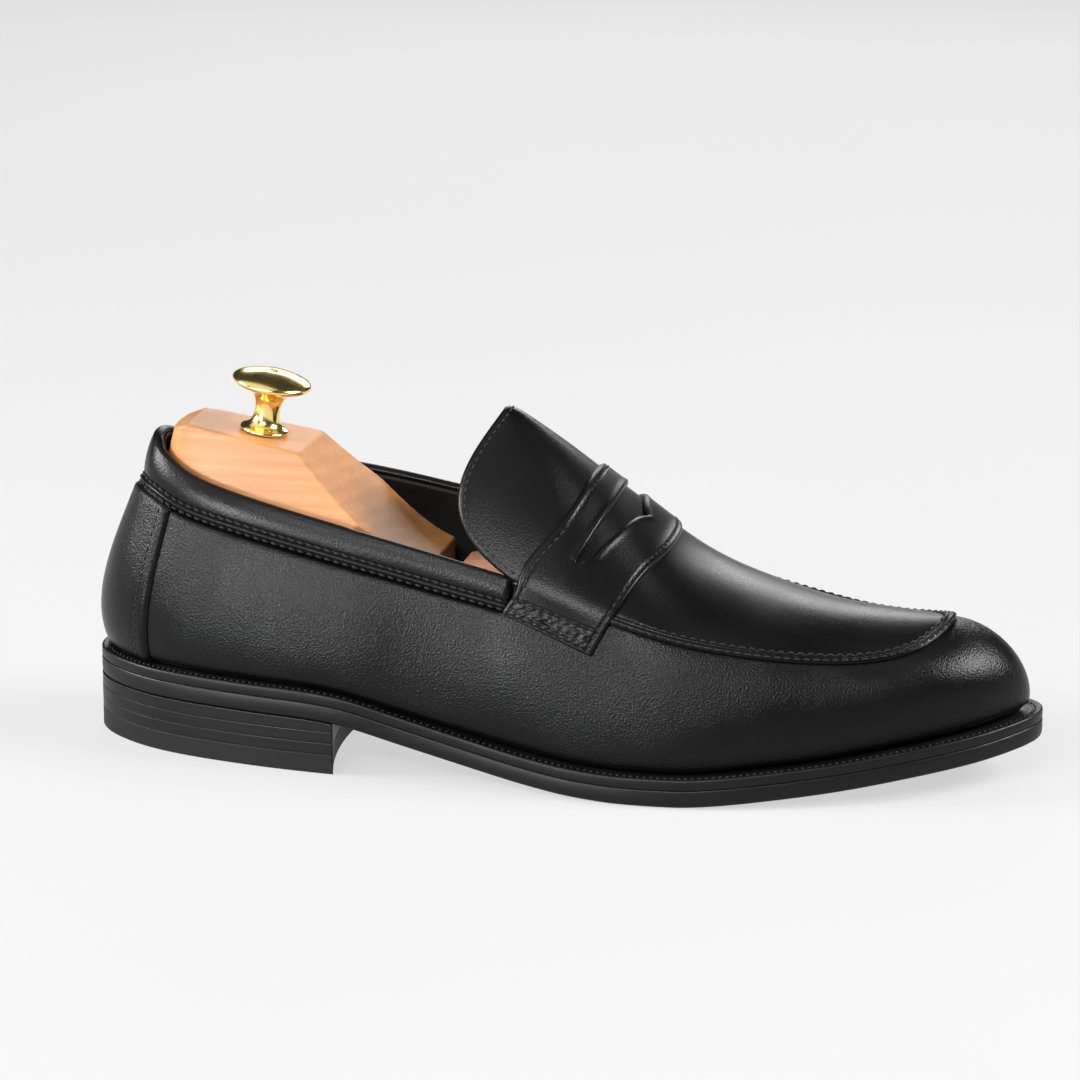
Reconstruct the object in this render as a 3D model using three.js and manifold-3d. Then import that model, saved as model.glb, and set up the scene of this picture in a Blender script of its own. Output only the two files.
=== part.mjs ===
// Men's penny loafer, right foot, with its two-piece wooden shoe tree fitted.
// Units are millimetres. While the pieces are made, x runs from the back of the heel to the toe,
// y points to the inner side of the foot and z is up from the ground. The finished group is moved
// so that its origin is the centre of the bottom of its own box.
import * as THREE from 'three';
import { mergeVertices } from 'three/addons/utils/BufferGeometryUtils.js';
import Module from 'manifold-3d';

const wasm = await Module();
wasm.setup();

// ---------- driving dimensions ----------
const GAP = 0.3; // clearance between touching pieces
const CURVED_GAP = 0.5; // clearance between nested curved shells
const SHOE_LENGTH = 300; // heel back to toe tip, along the sole
const SHOE_WIDTH = 101.6; // across the sole at the ball
const HEEL_HEIGHT = 17.4; // ground to the underside of the outsole at the heel
const TOE_SPRING = 12.6; // ground to the underside of the outsole at the tip
const UPPER_RISE = 1; // scale of the upper's height above the sole edge
const OUTSOLE = 5.3;
const WELT = 3;
const TOP_PIECE = 6;
const LIFT_COUNT = 3;
const HEEL_LENGTH = 86;
const BREAST_CURVE = 5;
const LEATHER = 1.4; // upper leather
const STIFFENER = 0.9; // counter, puff and tape between upper and lining
const LINING = 0.9;
const MARGIN = 12; // lasting margin turned in under the insole
const INSOLE = 2.4;
const SOCK = 1;
const BACK_STRIP = 1.1;
const STRAP = 1.3;
const BLOCK_FRONT = 112; // front end of the tree's heel block
const TREE_TRAVEL = 6; // how far the heel block can be pushed forward
const SPLIT_GAP = 4.4; // between the halves of the tree's forepart
const SPLIT_Y = 12; // middle of that split, to the inner side of the tree's rod
const ROD_Z = 50; // height of the tree's rod
const SLEEVE_D = 12;
const SLEEVE_WALL = 1;
const ROD_CLEAR = 2; // around the rod inside the sleeve
const SPRING_CLEAR = 0.8; // around the main spring inside the sleeve
const ROD_D = SLEEVE_D - 2 * (SLEEVE_WALL + ROD_CLEAR);
const PIN_D = 4;
const KNOB_D = 25;
const KNOB_HEIGHT = 20;
const STUD_D = 6;

const LENGTH_K = SHOE_LENGTH / 300;
const WIDTH_K = SHOE_WIDTH / 101.6;
const SOLE = OUTSOLE + GAP + WELT; // height of the sole edge

// ---------- curves ----------
// A smooth curve through points given as [x, y], read as y at x. It can end level.
function through(points, levelEnds = false) {
  const n = points.length;
  const slope = points.map((p, i) => {
    if (levelEnds && (i === 0 || i === n - 1)) return 0;
    const a = points[Math.max(i - 1, 0)];
    const b = points[Math.min(i + 1, n - 1)];
    return (b[1] - a[1]) / (b[0] - a[0]);
  });
  return (x) => {
    let i = 0;
    while (i < n - 2 && x > points[i + 1][0]) i += 1;
    const [x0, y0] = points[i];
    const [x1, y1] = points[i + 1];
    const h = x1 - x0;
    const t = THREE.MathUtils.clamp((x - x0) / h, 0, 1);
    const t2 = t * t;
    const t3 = t2 * t;
    return (2 * t3 - 3 * t2 + 1) * y0 + (t3 - 2 * t2 + t) * h * slope[i]
      + (3 * t2 - 2 * t3) * y1 + (t3 - t2) * h * slope[i + 1];
  };
}

// Share of the way from the heel back (0) to the toe tip (1), and back.
const toAngle = (x) => Math.acos(1 - 2 * THREE.MathUtils.clamp(x / SHOE_LENGTH, 0, 1)) / Math.PI;
const fromAngle = (a) => SHOE_LENGTH * (1 - Math.cos(Math.PI * a)) / 2;

// Sole edge: [x, y] on the outer and the inner side of the foot.
const TOE_Y = 6.4;
const edgePoint = ([x, y]) => [toAngle(x * LENGTH_K), y * WIDTH_K];
const outerEdge = through([[0, 0], [3, -10.5], [10.8, -19.5], [27, -29.5], [55, -37.3], [86, -41.4],
  [107, -41], [127, -42.6], [147, -46.2], [166, -49.6], [185, -51.1], [205, -49.3], [223, -44.8], [245, -38],
  [268, -28.2], [283, -18.8], [294, -7.6], [300, TOE_Y]].map(edgePoint));
const innerEdge = through([[0, 0], [3, 10.5], [10.8, 19], [27, 27.6], [55, 32.4], [86, 31.4],
  [107, 30], [127, 32], [147, 37], [166, 43], [185, 48], [205, 50.5], [223, 49.2], [245, 43.6],
  [268, 34], [283, 26.6], [294, 18.4], [300, TOE_Y]].map(edgePoint));

// Underside of the outsole: level at the heel, down the waist, flat tread, then toe spring.
const TREAD_FROM = 176; // the flat tread under the ball
const TREAD_TO = 196;
const tread = through([[0, HEEL_HEIGHT], [62, HEEL_HEIGHT - 0.1], [86, HEEL_HEIGHT - 1.3], [107, 10.7],
  [120, 7.6], [133, 4.9], [147, 2.5], [160, 0.9], [TREAD_FROM, 0], [TREAD_TO, 0], [212, 1.1],
  [228, 2.7], [245, 4.8], [268, 8.2], [300, TOE_SPRING]].map(([x, z]) => [x * LENGTH_K, z]));
const treadZ = (x) => {
  if (x > TREAD_FROM * LENGTH_K && x < TREAD_TO * LENGTH_K) return 0;
  return Math.max(tread(x), 0);
};
const seatZ = (x) => treadZ(x) + SOLE; // top of the welt

// ---------- solids from grids ----------
function meshSolid(points, triangles) {
  let geometry = new THREE.BufferGeometry();
  geometry.setAttribute('position', new THREE.Float32BufferAttribute(points.flat(), 3));
  geometry.setIndex(triangles.flat());
  geometry = mergeVertices(geometry, 1e-3);
  const index = geometry.index.array;
  const kept = [];
  for (let i = 0; i < index.length; i += 3) {
    const [a, b, c] = [index[i], index[i + 1], index[i + 2]];
    if (a !== b && b !== c && a !== c) kept.push(a, b, c);
  }
  geometry.setIndex(kept);
  return facingOut(geometry);
}

function facingOut(geometry) {
  const p = geometry.attributes.position;
  const index = geometry.index.array;
  const [a, b, c] = [new THREE.Vector3(), new THREE.Vector3(), new THREE.Vector3()];
  let volume = 0;
  for (let i = 0; i < index.length; i += 3) {
    a.fromBufferAttribute(p, index[i]);
    b.fromBufferAttribute(p, index[i + 1]);
    c.fromBufferAttribute(p, index[i + 2]);
    volume += a.dot(b.cross(c));
  }
  if (volume < 0) {
    for (let i = 0; i < index.length; i += 3) [index[i], index[i + 1]] = [index[i + 1], index[i]];
  }
  return geometry;
}

// A closed solid between two grids of points, front[i][j] and back[i][j].
function between(front, back) {
  const n = front.length;
  const m = front[0].length;
  const points = [...front.flat(), ...back.flat()];
  const id = (side, i, j) => side * n * m + i * m + j;
  const triangles = [];
  const quad = (a, b, c, d) => triangles.push([a, b, c], [a, c, d]);
  for (let i = 0; i < n - 1; i += 1) {
    for (let j = 0; j < m - 1; j += 1) {
      quad(id(0, i, j), id(0, i + 1, j), id(0, i + 1, j + 1), id(0, i, j + 1));
      quad(id(1, i, j), id(1, i, j + 1), id(1, i + 1, j + 1), id(1, i + 1, j));
    }
    quad(id(0, i, 0), id(1, i, 0), id(1, i + 1, 0), id(0, i + 1, 0));
    quad(id(0, i, m - 1), id(0, i + 1, m - 1), id(1, i + 1, m - 1), id(1, i, m - 1));
  }
  for (let j = 0; j < m - 1; j += 1) {
    quad(id(0, 0, j), id(0, 0, j + 1), id(1, 0, j + 1), id(1, 0, j));
    quad(id(0, n - 1, j), id(1, n - 1, j), id(1, n - 1, j + 1), id(0, n - 1, j + 1));
  }
  return meshSolid(points, triangles);
}

const grid = (n, m, at) => Array.from({ length: n + 1 }, (_, i) => (
  Array.from({ length: m + 1 }, (__, j) => at(i / n, j / m))));

// Offset a grid of points along its own normals; a positive distance goes outward.
function offsetGrid(points, distance, outward) {
  const n = points.length;
  const m = points[0].length;
  const v = (p) => new THREE.Vector3(...p);
  return points.map((row, i) => row.map((p, j) => {
    const du = v(points[Math.min(i + 1, n - 1)][j]).sub(v(points[Math.max(i - 1, 0)][j]));
    const dv = v(row[Math.min(j + 1, m - 1)]).sub(v(row[Math.max(j - 1, 0)]));
    const normal = du.cross(dv).normalize();
    if (normal.dot(outward(p)) < 0) normal.negate();
    return v(p).addScaledVector(normal, distance).toArray();
  }));
}

// ---------- the last: wall of the upper and apron ----------
// Each row is a station round the shoe: [feather x, top x, top y, top z above the sole edge's heel
// datum, foot bulge, foot rise, top bulge, top fall]. Bulges are in mm, rise and fall are shares of
// the wall's height.
const OUTER_WALL = [
  [0, 18.8, 0, 96, 11, 0.28, 2.6, 0.29],
  [3, 19.8, -7, 95, 10.6, 0.28, 3, 0.29],
  [10, 23.8, -13, 92, 9, 0.28, 4, 0.29],
  [26, 35, -19.4, 86.4, 6.6, 0.29, 5, 0.3],
  [50, 54, -24.2, 81.6, 5, 0.3, 5, 0.31],
  [85, 87, -28.4, 74.6, 4.4, 0.3, 4, 0.32],
  [120, 120, -32.6, 68, 4.4, 0.3, 3, 0.33],
  [147, 148, -36.6, 62.3, 4.4, 0.3, 4, 0.3],
  [170, 171, -37.2, 55.2, 4.2, 0.3, 6, 0.28],
  [195, 194, -36.4, 49, 4, 0.3, 7.4, 0.26],
  [222, 218, -32.6, 45, 3.8, 0.3, 8, 0.24],
  [245, 238.5, -26.6, 43, 3.4, 0.3, 9, 0.22],
  [265, 252.5, -21.4, 43.2, 3.2, 0.3, 11.4, 0.19],
  [281, 262.6, -14.6, 45, 3.2, 0.3, 15, 0.13],
  [292, 268.2, -6.4, 47.5, 3.2, 0.3, 18, 0.1],
  [300, 270.8, 3, 49.5, 3.2, 0.3, 19, 0.09],
];
const INNER_WALL = [
  [0, 18.8, 0, 96, 11, 0.28, 2.6, 0.29],
  [3, 19.8, 7, 95, 10.6, 0.28, 3, 0.29],
  [10, 23.8, 13, 92.6, 9, 0.28, 4, 0.29],
  [26, 35, 19.8, 88, 6.6, 0.29, 5, 0.3],
  [50, 54, 25.4, 84.6, 4.6, 0.3, 5, 0.31],
  [85, 87, 28.8, 79.6, 4.4, 0.3, 4, 0.32],
  [120, 120, 31.8, 72.6, 4.4, 0.3, 3, 0.33],
  [147, 148, 36.4, 65.6, 4.4, 0.3, 4, 0.3],
  [170, 171, 38.6, 58, 4.2, 0.3, 6, 0.28],
  [195, 194, 38.6, 51.6, 4, 0.3, 7.4, 0.26],
  [222, 218, 36, 46.8, 3.8, 0.3, 8, 0.24],
  [245, 238.5, 31, 44, 3.4, 0.3, 9, 0.22],
  [265, 252.5, 26.6, 43.6, 3.2, 0.3, 11.4, 0.19],
  [281, 262.6, 20.2, 45.2, 3.2, 0.3, 15, 0.13],
  [292, 268.2, 12.4, 47.5, 3.2, 0.3, 18, 0.1],
  [300, 270.8, 3, 49.5, 3.2, 0.3, 19, 0.09],
];
const featherInset = through([[0, 4.6], [30, 3.6], [100, 3.2], [170, 4.6], [260, 5], [300, 4.8]]
  .map(([x, d]) => [x * LENGTH_K, d]));

function wallSide(rows, edge) {
  const angles = rows.map((row) => toAngle(row[0] * LENGTH_K));
  // every column but the top's y meets the other side's smoothly at the heel back and the toe
  const column = (k) => through(rows.map((row, i) => [angles[i], row[k]]), k !== 2);
  const [topX, topY, topZ, footB, footH, topB, topH] = [1, 2, 3, 4, 5, 6, 7].map(column);
  return (a) => {
    const x = fromAngle(a);
    const step = 1e-3;
    const [a0, a1] = [Math.max(a - step, 0), Math.min(a + step, 1)];
    const tangent = new THREE.Vector2(fromAngle(a1) - fromAngle(a0), edge(a1) - edge(a0)).normalize();
    const side = edge === outerEdge ? -1 : 1;
    const out = new THREE.Vector2(-tangent.y * side, tangent.x * side);
    if (a < 1e-6) out.set(-1, 0);
    if (a > 1 - 1e-6) out.set(1, 0);
    const inset = featherInset(x);
    const foot = [x - out.x * inset, edge(a) - out.y * inset, seatZ(x) + CURVED_GAP];
    const rise = (z) => (z - SOLE - HEEL_HEIGHT) * UPPER_RISE + SOLE + HEEL_HEIGHT;
    const top = [topX(a) * LENGTH_K, topY(a) * WIDTH_K, rise(topZ(a))];
    const height = top[2] - foot[2];
    return { foot, top, out, height, footB: footB(a), footH: footH(a), topB: topB(a), topH: topH(a) };
  };
}
const outerWall = wallSide(OUTER_WALL, outerEdge);
const innerWall = wallSide(INNER_WALL, innerEdge);

// s runs 0..1 from the heel back along the outer side to the toe, and 1..2 back along the inner side.
// Below 0 it runs from the heel back along the inner side.
function station(s) {
  if (s < 0) return innerWall(-s);
  return s <= 1 ? outerWall(s) : innerWall(2 - s);
}
const SPINE_Y = 2;
const spineX = (x) => THREE.MathUtils.clamp(x, 45 * LENGTH_K, 235 * LENGTH_K);

// Point on the wall. t is 0 at the feather line and 1 at the top; below 0 it is the lasting margin.
function wall(s, t) {
  const q = station(s);
  if (t < 0) {
    const inward = new THREE.Vector2(spineX(q.foot[0]) - q.foot[0], SPINE_Y - q.foot[1]);
    inward.setLength(-MARGIN * t);
    const x = q.foot[0] + inward.x;
    return [x, q.foot[1] + inward.y, seatZ(x) + CURVED_GAP];
  }
  const u = 1 - t;
  const [w0, w1, w2, w3] = [u * u * u, 3 * u * u * t, 3 * u * t * t, t * t * t];
  const flat = (k, o) => w0 * q.foot[k] + w1 * (q.foot[k] + o * q.footB)
    + w2 * (q.top[k] + o * q.topB) + w3 * q.top[k];
  const z = w0 * q.foot[2] + w1 * (q.foot[2] + q.height * q.footH)
    + w2 * (q.top[2] - q.height * q.topH) + w3 * q.top[2];
  return [flat(0, q.out.x), flat(1, q.out.y), z];
}
const fromSpine = (p) => new THREE.Vector3(p[0] - spineX(p[0]), p[1] - SPINE_Y, 0.001);
const fromBelow = (p) => new THREE.Vector3(0, (p[1] - SPINE_Y) * 0.5, 30);

// Part of the wall between two offsets; low(s) and high(s) give its lower and upper edges.
function wallPiece(s0, s1, ns, low, high, nt, outer, inner) {
  const base = grid(ns, nt, (u, v) => {
    const s = s0 + (s1 - s0) * u;
    return wall(s, low(s) + (high(s) - low(s)) * v);
  });
  return between(offsetGrid(base, outer, fromSpine), offsetGrid(base, inner, fromSpine));
}

// ---------- apron and tongue ----------
// Where the seam joins the wall: s on the outer and inner side, at the tongue and at the toe corner.
const SEAM_BACK = toAngle(143 * LENGTH_K);
const SEAM_TOE = toAngle(276 * LENGTH_K);
// Crown of the tongue and apron on the middle line, from the tongue's rear edge to the toe seam.
const CROWN_REAR = 131;
const CROWN_FRONT = 271;
const crown = through([[0, 109.4], [0.035, 107.6], [0.12, 98.9], [0.25, 84], [0.4, 66.3], [0.55, 56.9],
  [0.7, 51.6], [0.85, 49.8], [1, 49.6]]);
const crownX = (v) => CROWN_REAR + (CROWN_FRONT - CROWN_REAR) * v;
// How square the arch across is: higher is flatter on top.
const archPower = through([[0, 1.7], [0.3, 2.09], [0.6, 2.06], [1, 2.14]]);
const EAR = 46; // how far the tongue's rear corners reach back
const EAR_V = 0.12;
const SWELL = 5.6; // fullness of the tongue's sides
const SWELL_V = 0.6;
const TOE_TURN = 0.8; // from here on the cross lines bend round to follow the seam's toe end

// u runs across from the outer (-1) to the inner (1) side, v from the tongue's rear edge to the toe.
function apron(u, v) {
  const s = SEAM_BACK + (SEAM_TOE - SEAM_BACK) * v;
  const left = wall(s, 1);
  const right = wall(2 - s, 1);
  const end = wall(1 + u * (1 - SEAM_TOE), 1);
  const a = Math.abs(u);
  const k = (u + 1) / 2;
  const chord = left.map((c, i) => c + (right[i] - c) * k);
  const mid = left.map((c, i) => (c + right[i]) / 2);
  const rise = (crown(v) - SOLE - HEEL_HEIGHT) * UPPER_RISE + SOLE + HEEL_HEIGHT;
  const top = [crownX(v) * LENGTH_K, (SPINE_Y + 1) * WIDTH_K, rise];
  const arch = 1 - a ** archPower(v);
  const ear = EAR * Math.max(1 - v / EAR_V, 0) ** 1.5 * a ** 1.8 * (1 - a ** 2.8);
  const swell = Math.sign(u) * SWELL * Math.max(1 - v / SWELL_V, 0) * a * a * (1 - a);
  const p = [
    chord[0] + (top[0] - mid[0]) * (1 - a * a) - ear,
    chord[1] + (top[1] - mid[1]) * arch + swell,
    chord[2] + (top[2] - mid[2]) * arch,
  ];
  const turn = Math.max((v - TOE_TURN) / (1 - TOE_TURN), 0) ** 2;
  return p.map((c, i) => c + (end[i] - c) * turn);
}

function apronPiece(v0, v1, nv, edge, nu, outer, inner) {
  const base = grid(nv, nu, (i, j) => apron((2 * j - 1) * edge, v0 + (v1 - v0) * i));
  return between(offsetGrid(base, outer, fromBelow), offsetGrid(base, inner, fromBelow));
}

// ---------- output ----------
const shoe = new THREE.Group();
function add(name, geometry, color, roughness, metalness = 0) {
  geometry.computeVertexNormals();
  const material = new THREE.MeshStandardMaterial({ color, roughness, metalness });
  const mesh = new THREE.Mesh(geometry, material);
  mesh.name = name;
  shoe.add(mesh);
  return mesh;
}
const BLACK = 0x161617;
const LINING_BLACK = 0x1d1c1b;
const LINING_GREY = 0x77706a;
const BOARD = 0xb9a383;
const WOOD = 0xdcab74;
const CEDAR = 0xc98f6e;
const GOLD = 0xd9a93a;
const STEEL = 0xb9bcc0;

// ---------- upper ----------
const BACK_SEAM = 0.006;
const STRAP_S = toAngle(141 * LENGTH_K); // the collar band ends here, under the saddle strap
const bandWidth = through([[0, 17.6], [STRAP_S * 0.3, 12.4], [STRAP_S * 0.6, 10.4], [STRAP_S, 9.4]]);
const fold = (s) => (s <= 1 ? Math.abs(s) : 2 - s);
const bandT = (s) => 1 - bandWidth(Math.min(fold(s), STRAP_S)) / station(s).height;
const share = (s, d) => d / station(s).height; // a height on the wall as a share of it
const quarterTop = (s) => (fold(s) < STRAP_S ? bandT(s) - share(s, GAP) : 1 - share(s, GAP));

// One piece round the toe with its ends meeting at the back seam, and a margin lasted under.
function vampAndQuarters() {
  const half = [];
  const steps = (from, to, n) => {
    for (let i = 0; i < n; i += 1) half.push(from + (to - from) * i / n);
  };
  steps(BACK_SEAM, STRAP_S - 0.002, 13);
  steps(STRAP_S - 0.002, STRAP_S + 0.002, 1);
  steps(STRAP_S + 0.002, 1, 16);
  const ring = [...half, 1, ...half.slice().reverse().map((s) => 2 - s)];
  const rows = 6;
  const upright = ring.map((s) => Array.from({ length: rows + 1 }, (_, j) => (
    wall(s, 0.02 + (quarterTop(s) - 0.02) * j / rows))));
  const margin = ring.map((s) => [wall(s, -1), wall(s, -0.6), wall(s, -0.24)]);
  const floor = (p) => seatZ(p[0]) + CURVED_GAP + LEATHER;
  const inner = offsetGrid(upright, -LEATHER, fromSpine)
    .map((row) => row.map((p) => [p[0], p[1], Math.max(p[2], floor(p))]));
  const front = margin.map((row, i) => [...row, ...upright[i]]);
  const back = margin.map((row, i) => [...row.map((p) => [p[0], p[1], floor(p)]), ...inner[i]]);
  return between(front, back);
}
add('vamp_and_quarters', vampAndQuarters(), BLACK, 0.42);

const BAND_END = STRAP_S - 0.004;
add('collar_band', wallPiece(-BAND_END, BAND_END, 34, bandT, () => 1, 2, 0, -LEATHER), BLACK, 0.4);

add('apron_and_tongue', apronPiece(0, 1, 18, 0.985, 12, 0, -LEATHER), BLACK, 0.36);
const UNDER = -LEATHER - CURVED_GAP; // outside of what lies against the upper's flesh side
add('tongue_lining', apronPiece(0.01, 0.36, 7, 0.94, 10, UNDER, UNDER - LINING), LINING_BLACK, 0.7);
add('apron_lining', apronPiece(0.37, 0.94, 8, 0.9, 8, UNDER, UNDER - LINING), LINING_GREY, 0.8);

const SKIN = UNDER - STIFFENER - CURVED_GAP; // outside of the lining
const COUNTER_S = 0.3;
const liningLow = (s) => share(s, LEATHER + GAP + 1);
const liningTop = (s) => 1 - share(s, 0.6);
const topTape = () => wallPiece(-0.44, 0.44, 26, (s) => bandT(s) + share(s, 1), (s) => 1 - share(s, 1), 1,
  UNDER, UNDER - STIFFENER);
add('topline_tape', topTape(), 0x3a3a3c, 0.8);
add('heel_counter', wallPiece(-COUNTER_S, COUNTER_S, 20, liningLow, (s) => bandT(s) - share(s, 1), 4,
  UNDER, UNDER - STIFFENER), BOARD, 0.85);
add('toe_puff', wallPiece(0.8, 1.2, 12, liningLow, (s) => 1 - share(s, 4), 4, UNDER, UNDER - STIFFENER),
  BOARD, 0.85);

const GRIP_S = 0.16; // half the width of the lining's heel piece
const LINING_END = 0.49;
const LINING_BUTT = 0.008; // gap between the lining's pieces, as a share of the way round
const lining = (s0, s1, n, top, rows) => wallPiece(s0, s1, n, liningLow, top, rows, SKIN, SKIN - LINING);
const QUARTER_FROM = GRIP_S + LINING_BUTT;
const VAMP_FROM = LINING_END + LINING_BUTT;
add('heel_grip_lining', lining(-GRIP_S, GRIP_S, 12, liningTop, 5), LINING_BLACK, 0.85);
add('quarter_lining_outer', lining(QUARTER_FROM, LINING_END, 10, liningTop, 4), LINING_BLACK, 0.75);
add('quarter_lining_inner', lining(-LINING_END, -QUARTER_FROM, 10, liningTop, 4), LINING_BLACK, 0.75);
add('vamp_lining', lining(VAMP_FROM, 2 - VAMP_FROM, 26, (s) => 1 - share(s, 5), 4), LINING_GREY, 0.8);

// Strip over the back seam.
const STRIP_TOP = (s) => bandT(s) - share(s, GAP);
const STRIP_S = toAngle(21 * LENGTH_K);
const strip = wallPiece(-STRIP_S, STRIP_S, 12, (s) => share(s, 1.2), STRIP_TOP, 6, GAP + BACK_STRIP, GAP);
add('back_strip', strip, BLACK, 0.4);

// ---------- saddle strap ----------
const STRAP_REAR_FOOT = toAngle(138.4 * LENGTH_K);
const STRAP_REAR_SEAM = toAngle(143.6 * LENGTH_K);
const STRAP_FRONT_FOOT = toAngle(167 * LENGTH_K);
const STRAP_FRONT_SEAM = toAngle(172.5 * LENGTH_K);
const STRAP_REAR_CROWN = 0.2; // where the strap crosses the crown, as shares of the apron
const STRAP_FRONT_CROWN = 0.383;
const STRAP_FOOT_REAR_T = 0.8;
const STRAP_FOOT_FRONT_T = 0.72;
const SLIT_LENGTH = 60;
const SLIT_WIDTH = 7; // at the middle of the strap
const SLIT_END = 1.5; // at its ends
const SLIT_X = 171;
const SLIT_BOW = 9;
const STRAP_LIFT = 0.9; // the strap bridges the apron seam
function strapPoint(q, w) {
  // q runs from the rear edge to the front edge, w from the outer foot (-1) to the inner foot (1)
  const lerp = THREE.MathUtils.lerp;
  const seam = 0.66; // share of w that lies on the apron
  const side = Math.sign(w) || 1;
  const seamS = lerp(STRAP_REAR_SEAM, STRAP_FRONT_SEAM, q);
  if (Math.abs(w) > seam) {
    const k = (Math.abs(w) - seam) / (1 - seam);
    const s = lerp(seamS, lerp(STRAP_REAR_FOOT, STRAP_FRONT_FOOT, q), k);
    const t = lerp(1, lerp(STRAP_FOOT_REAR_T, STRAP_FOOT_FRONT_T, q), k);
    return wall(side < 0 ? s : 2 - s, t);
  }
  const u = w / seam;
  const vEdge = (seamS - SEAM_BACK) / (SEAM_TOE - SEAM_BACK);
  const vMid = lerp(STRAP_REAR_CROWN, STRAP_FRONT_CROWN, q);
  return apron(u, lerp(vMid, vEdge, Math.abs(u) ** 2.2));
}
function saddleStrap() {
  let base = grid(4, 30, (i, j) => strapPoint(i, 2 * j - 1));
  for (let k = 0; k < 2; k += 1) {
    base = base.map((row) => row.map((p, j) => (j === 0 || j === row.length - 1 ? p
      : p.map((c, n) => (row[j - 1][n] + 2 * c + row[j + 1][n]) / 4))));
  }
  const face = offsetGrid(base, STRAP_LIFT + STRAP, fromBelow);
  return subtract(between(face, offsetGrid(base, STRAP_LIFT, fromBelow)), slitCutter());
}
// The penny slit: its rear edge bows a little, its front edge more.
function slitCutter() {
  const points = [];
  const n = 8;
  const bow = (y, depth) => SLIT_X * LENGTH_K - depth * (y / (SLIT_LENGTH / 2)) ** 2;
  for (let i = 0; i <= n; i += 1) {
    const y = SLIT_LENGTH * (i / n - 0.5);
    points.push([bow(y, SLIT_BOW) - SLIT_WIDTH / 2, y]);
  }
  for (let i = n; i >= 0; i -= 1) {
    const y = SLIT_LENGTH * (i / n - 0.5);
    const width = SLIT_END + (SLIT_WIDTH - SLIT_END) * Math.cos(Math.PI * y / SLIT_LENGTH);
    points.push([bow(y, SLIT_BOW) - SLIT_WIDTH / 2 + width, y]);
  }
  const outline = points.map(([x, y]) => new THREE.Vector2(x, y + SPINE_Y));
  const cutter = new THREE.ExtrudeGeometry(new THREE.Shape(outline), { depth: 120, bevelEnabled: false });
  return cutter.translate(0, 0, 30);
}

// ---------- booleans ----------
function solid(geometry) {
  const bare = geometry.clone();
  bare.deleteAttribute('normal');
  bare.deleteAttribute('uv');
  const merged = mergeVertices(bare, 1e-4);
  return new wasm.Manifold(new wasm.Mesh({
    numProp: 3,
    vertProperties: new Float32Array(merged.attributes.position.array),
    triVerts: new Uint32Array(merged.index.array),
  }));
}
function toGeometry(manifold) {
  const mesh = manifold.getMesh();
  const geometry = new THREE.BufferGeometry();
  geometry.setAttribute('position', new THREE.Float32BufferAttribute(mesh.vertProperties, 3));
  geometry.setIndex([...mesh.triVerts]);
  return geometry;
}
const subtract = (a, ...cutters) => toGeometry(cutters.reduce((m, c) => m.subtract(solid(c)), solid(a)));
const intersect = (a, ...others) => toGeometry(others.reduce((m, c) => m.intersect(solid(c)), solid(a)));
add('saddle_strap', saddleStrap(), BLACK, 0.38);

// ---------- sole and heel ----------
const BOTTOM_BLACK = 0x1b1a1a;
// Point of the sole's outline at a share a of the way to the toe, moved in by d.
function edgeAt(side, a, d) {
  const q = side(a);
  const inset = featherInset(fromAngle(a));
  return [q.foot[0] + q.out.x * (inset - d), q.foot[1] + q.out.y * (inset - d)];
}
const mix = (p, q, k) => p.map((c, i) => c + (q[i] - c) * k);
function slab(n, m, plan, low, high) {
  const base = grid(n, m, plan);
  const at = (z) => base.map((row) => row.map(([x, y]) => [x, y, z(x, y)]));
  return between(at(high), at(low));
}
const footPlan = (a0, a1, d) => (u, v) => {
  const a = a0 + (a1 - a0) * u;
  return mix(edgeAt(outerWall, a, d(a)), edgeAt(innerWall, a, d(a)), v);
};
const SOLE_STEPS = 34;
const SCREW_X = 36;
const SCREW_D = 4.5;
const SCREW_HEAD_D = 9;
const bore = (x, y, z0, z1, d) => rodAlong('z', d, z1 - z0).translate(x, y, (z0 + z1) / 2);

function rodAlong(axis, d, length, sides = 20) {
  const rod = new THREE.CylinderGeometry(d / 2, d / 2, length, sides);
  if (axis === 'x') rod.rotateZ(-Math.PI / 2);
  if (axis === 'z') rod.rotateX(Math.PI / 2);
  return rod;
}
const screwHole = () => bore(SCREW_X * LENGTH_K, 0, 0, 60, SCREW_D + 2 * GAP);
const outsole = slab(SOLE_STEPS, 3, footPlan(0, 1, () => 0), treadZ, (x) => treadZ(x) + OUTSOLE);
add('outsole', subtract(outsole, screwHole()), BOTTOM_BLACK, 0.4);
const midsole = slab(SOLE_STEPS, 2, footPlan(0, 1, () => 0.3), (x) => seatZ(x) - WELT, seatZ);
add('welt_midsole', subtract(midsole, screwHole()), BOTTOM_BLACK, 0.4);

const BREAST_A = toAngle(HEEL_LENGTH * LENGTH_K);
function heelPlan(u, v) {
  const [x, y] = footPlan(0, BREAST_A, () => 0)(u, v);
  return [x - BREAST_CURVE * (1 - (2 * v - 1) ** 2) * u ** 4, y];
}
const heelSlab = (low, high) => slab(12, 4, heelPlan, low, high);
add('heel_top_piece', heelSlab(() => 0, () => TOP_PIECE), 0x141414, 0.7);
const LIFT = (HEEL_HEIGHT - TOP_PIECE - GAP) / LIFT_COUNT - GAP; // the last lift follows the outsole
for (let i = 0; i < LIFT_COUNT; i += 1) {
  const low = TOP_PIECE + GAP + i * (LIFT + GAP);
  const last = i === LIFT_COUNT - 1;
  const lift = heelSlab(() => low, (x) => (last ? treadZ(x) - GAP : low + LIFT));
  const shaft = bore(SCREW_X * LENGTH_K, 0, TOP_PIECE + GAP, 60, SCREW_D + 2 * GAP);
  add(`heel_lift_${i + 1}`, subtract(lift, shaft), BOTTOM_BLACK, 0.45);
}

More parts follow.
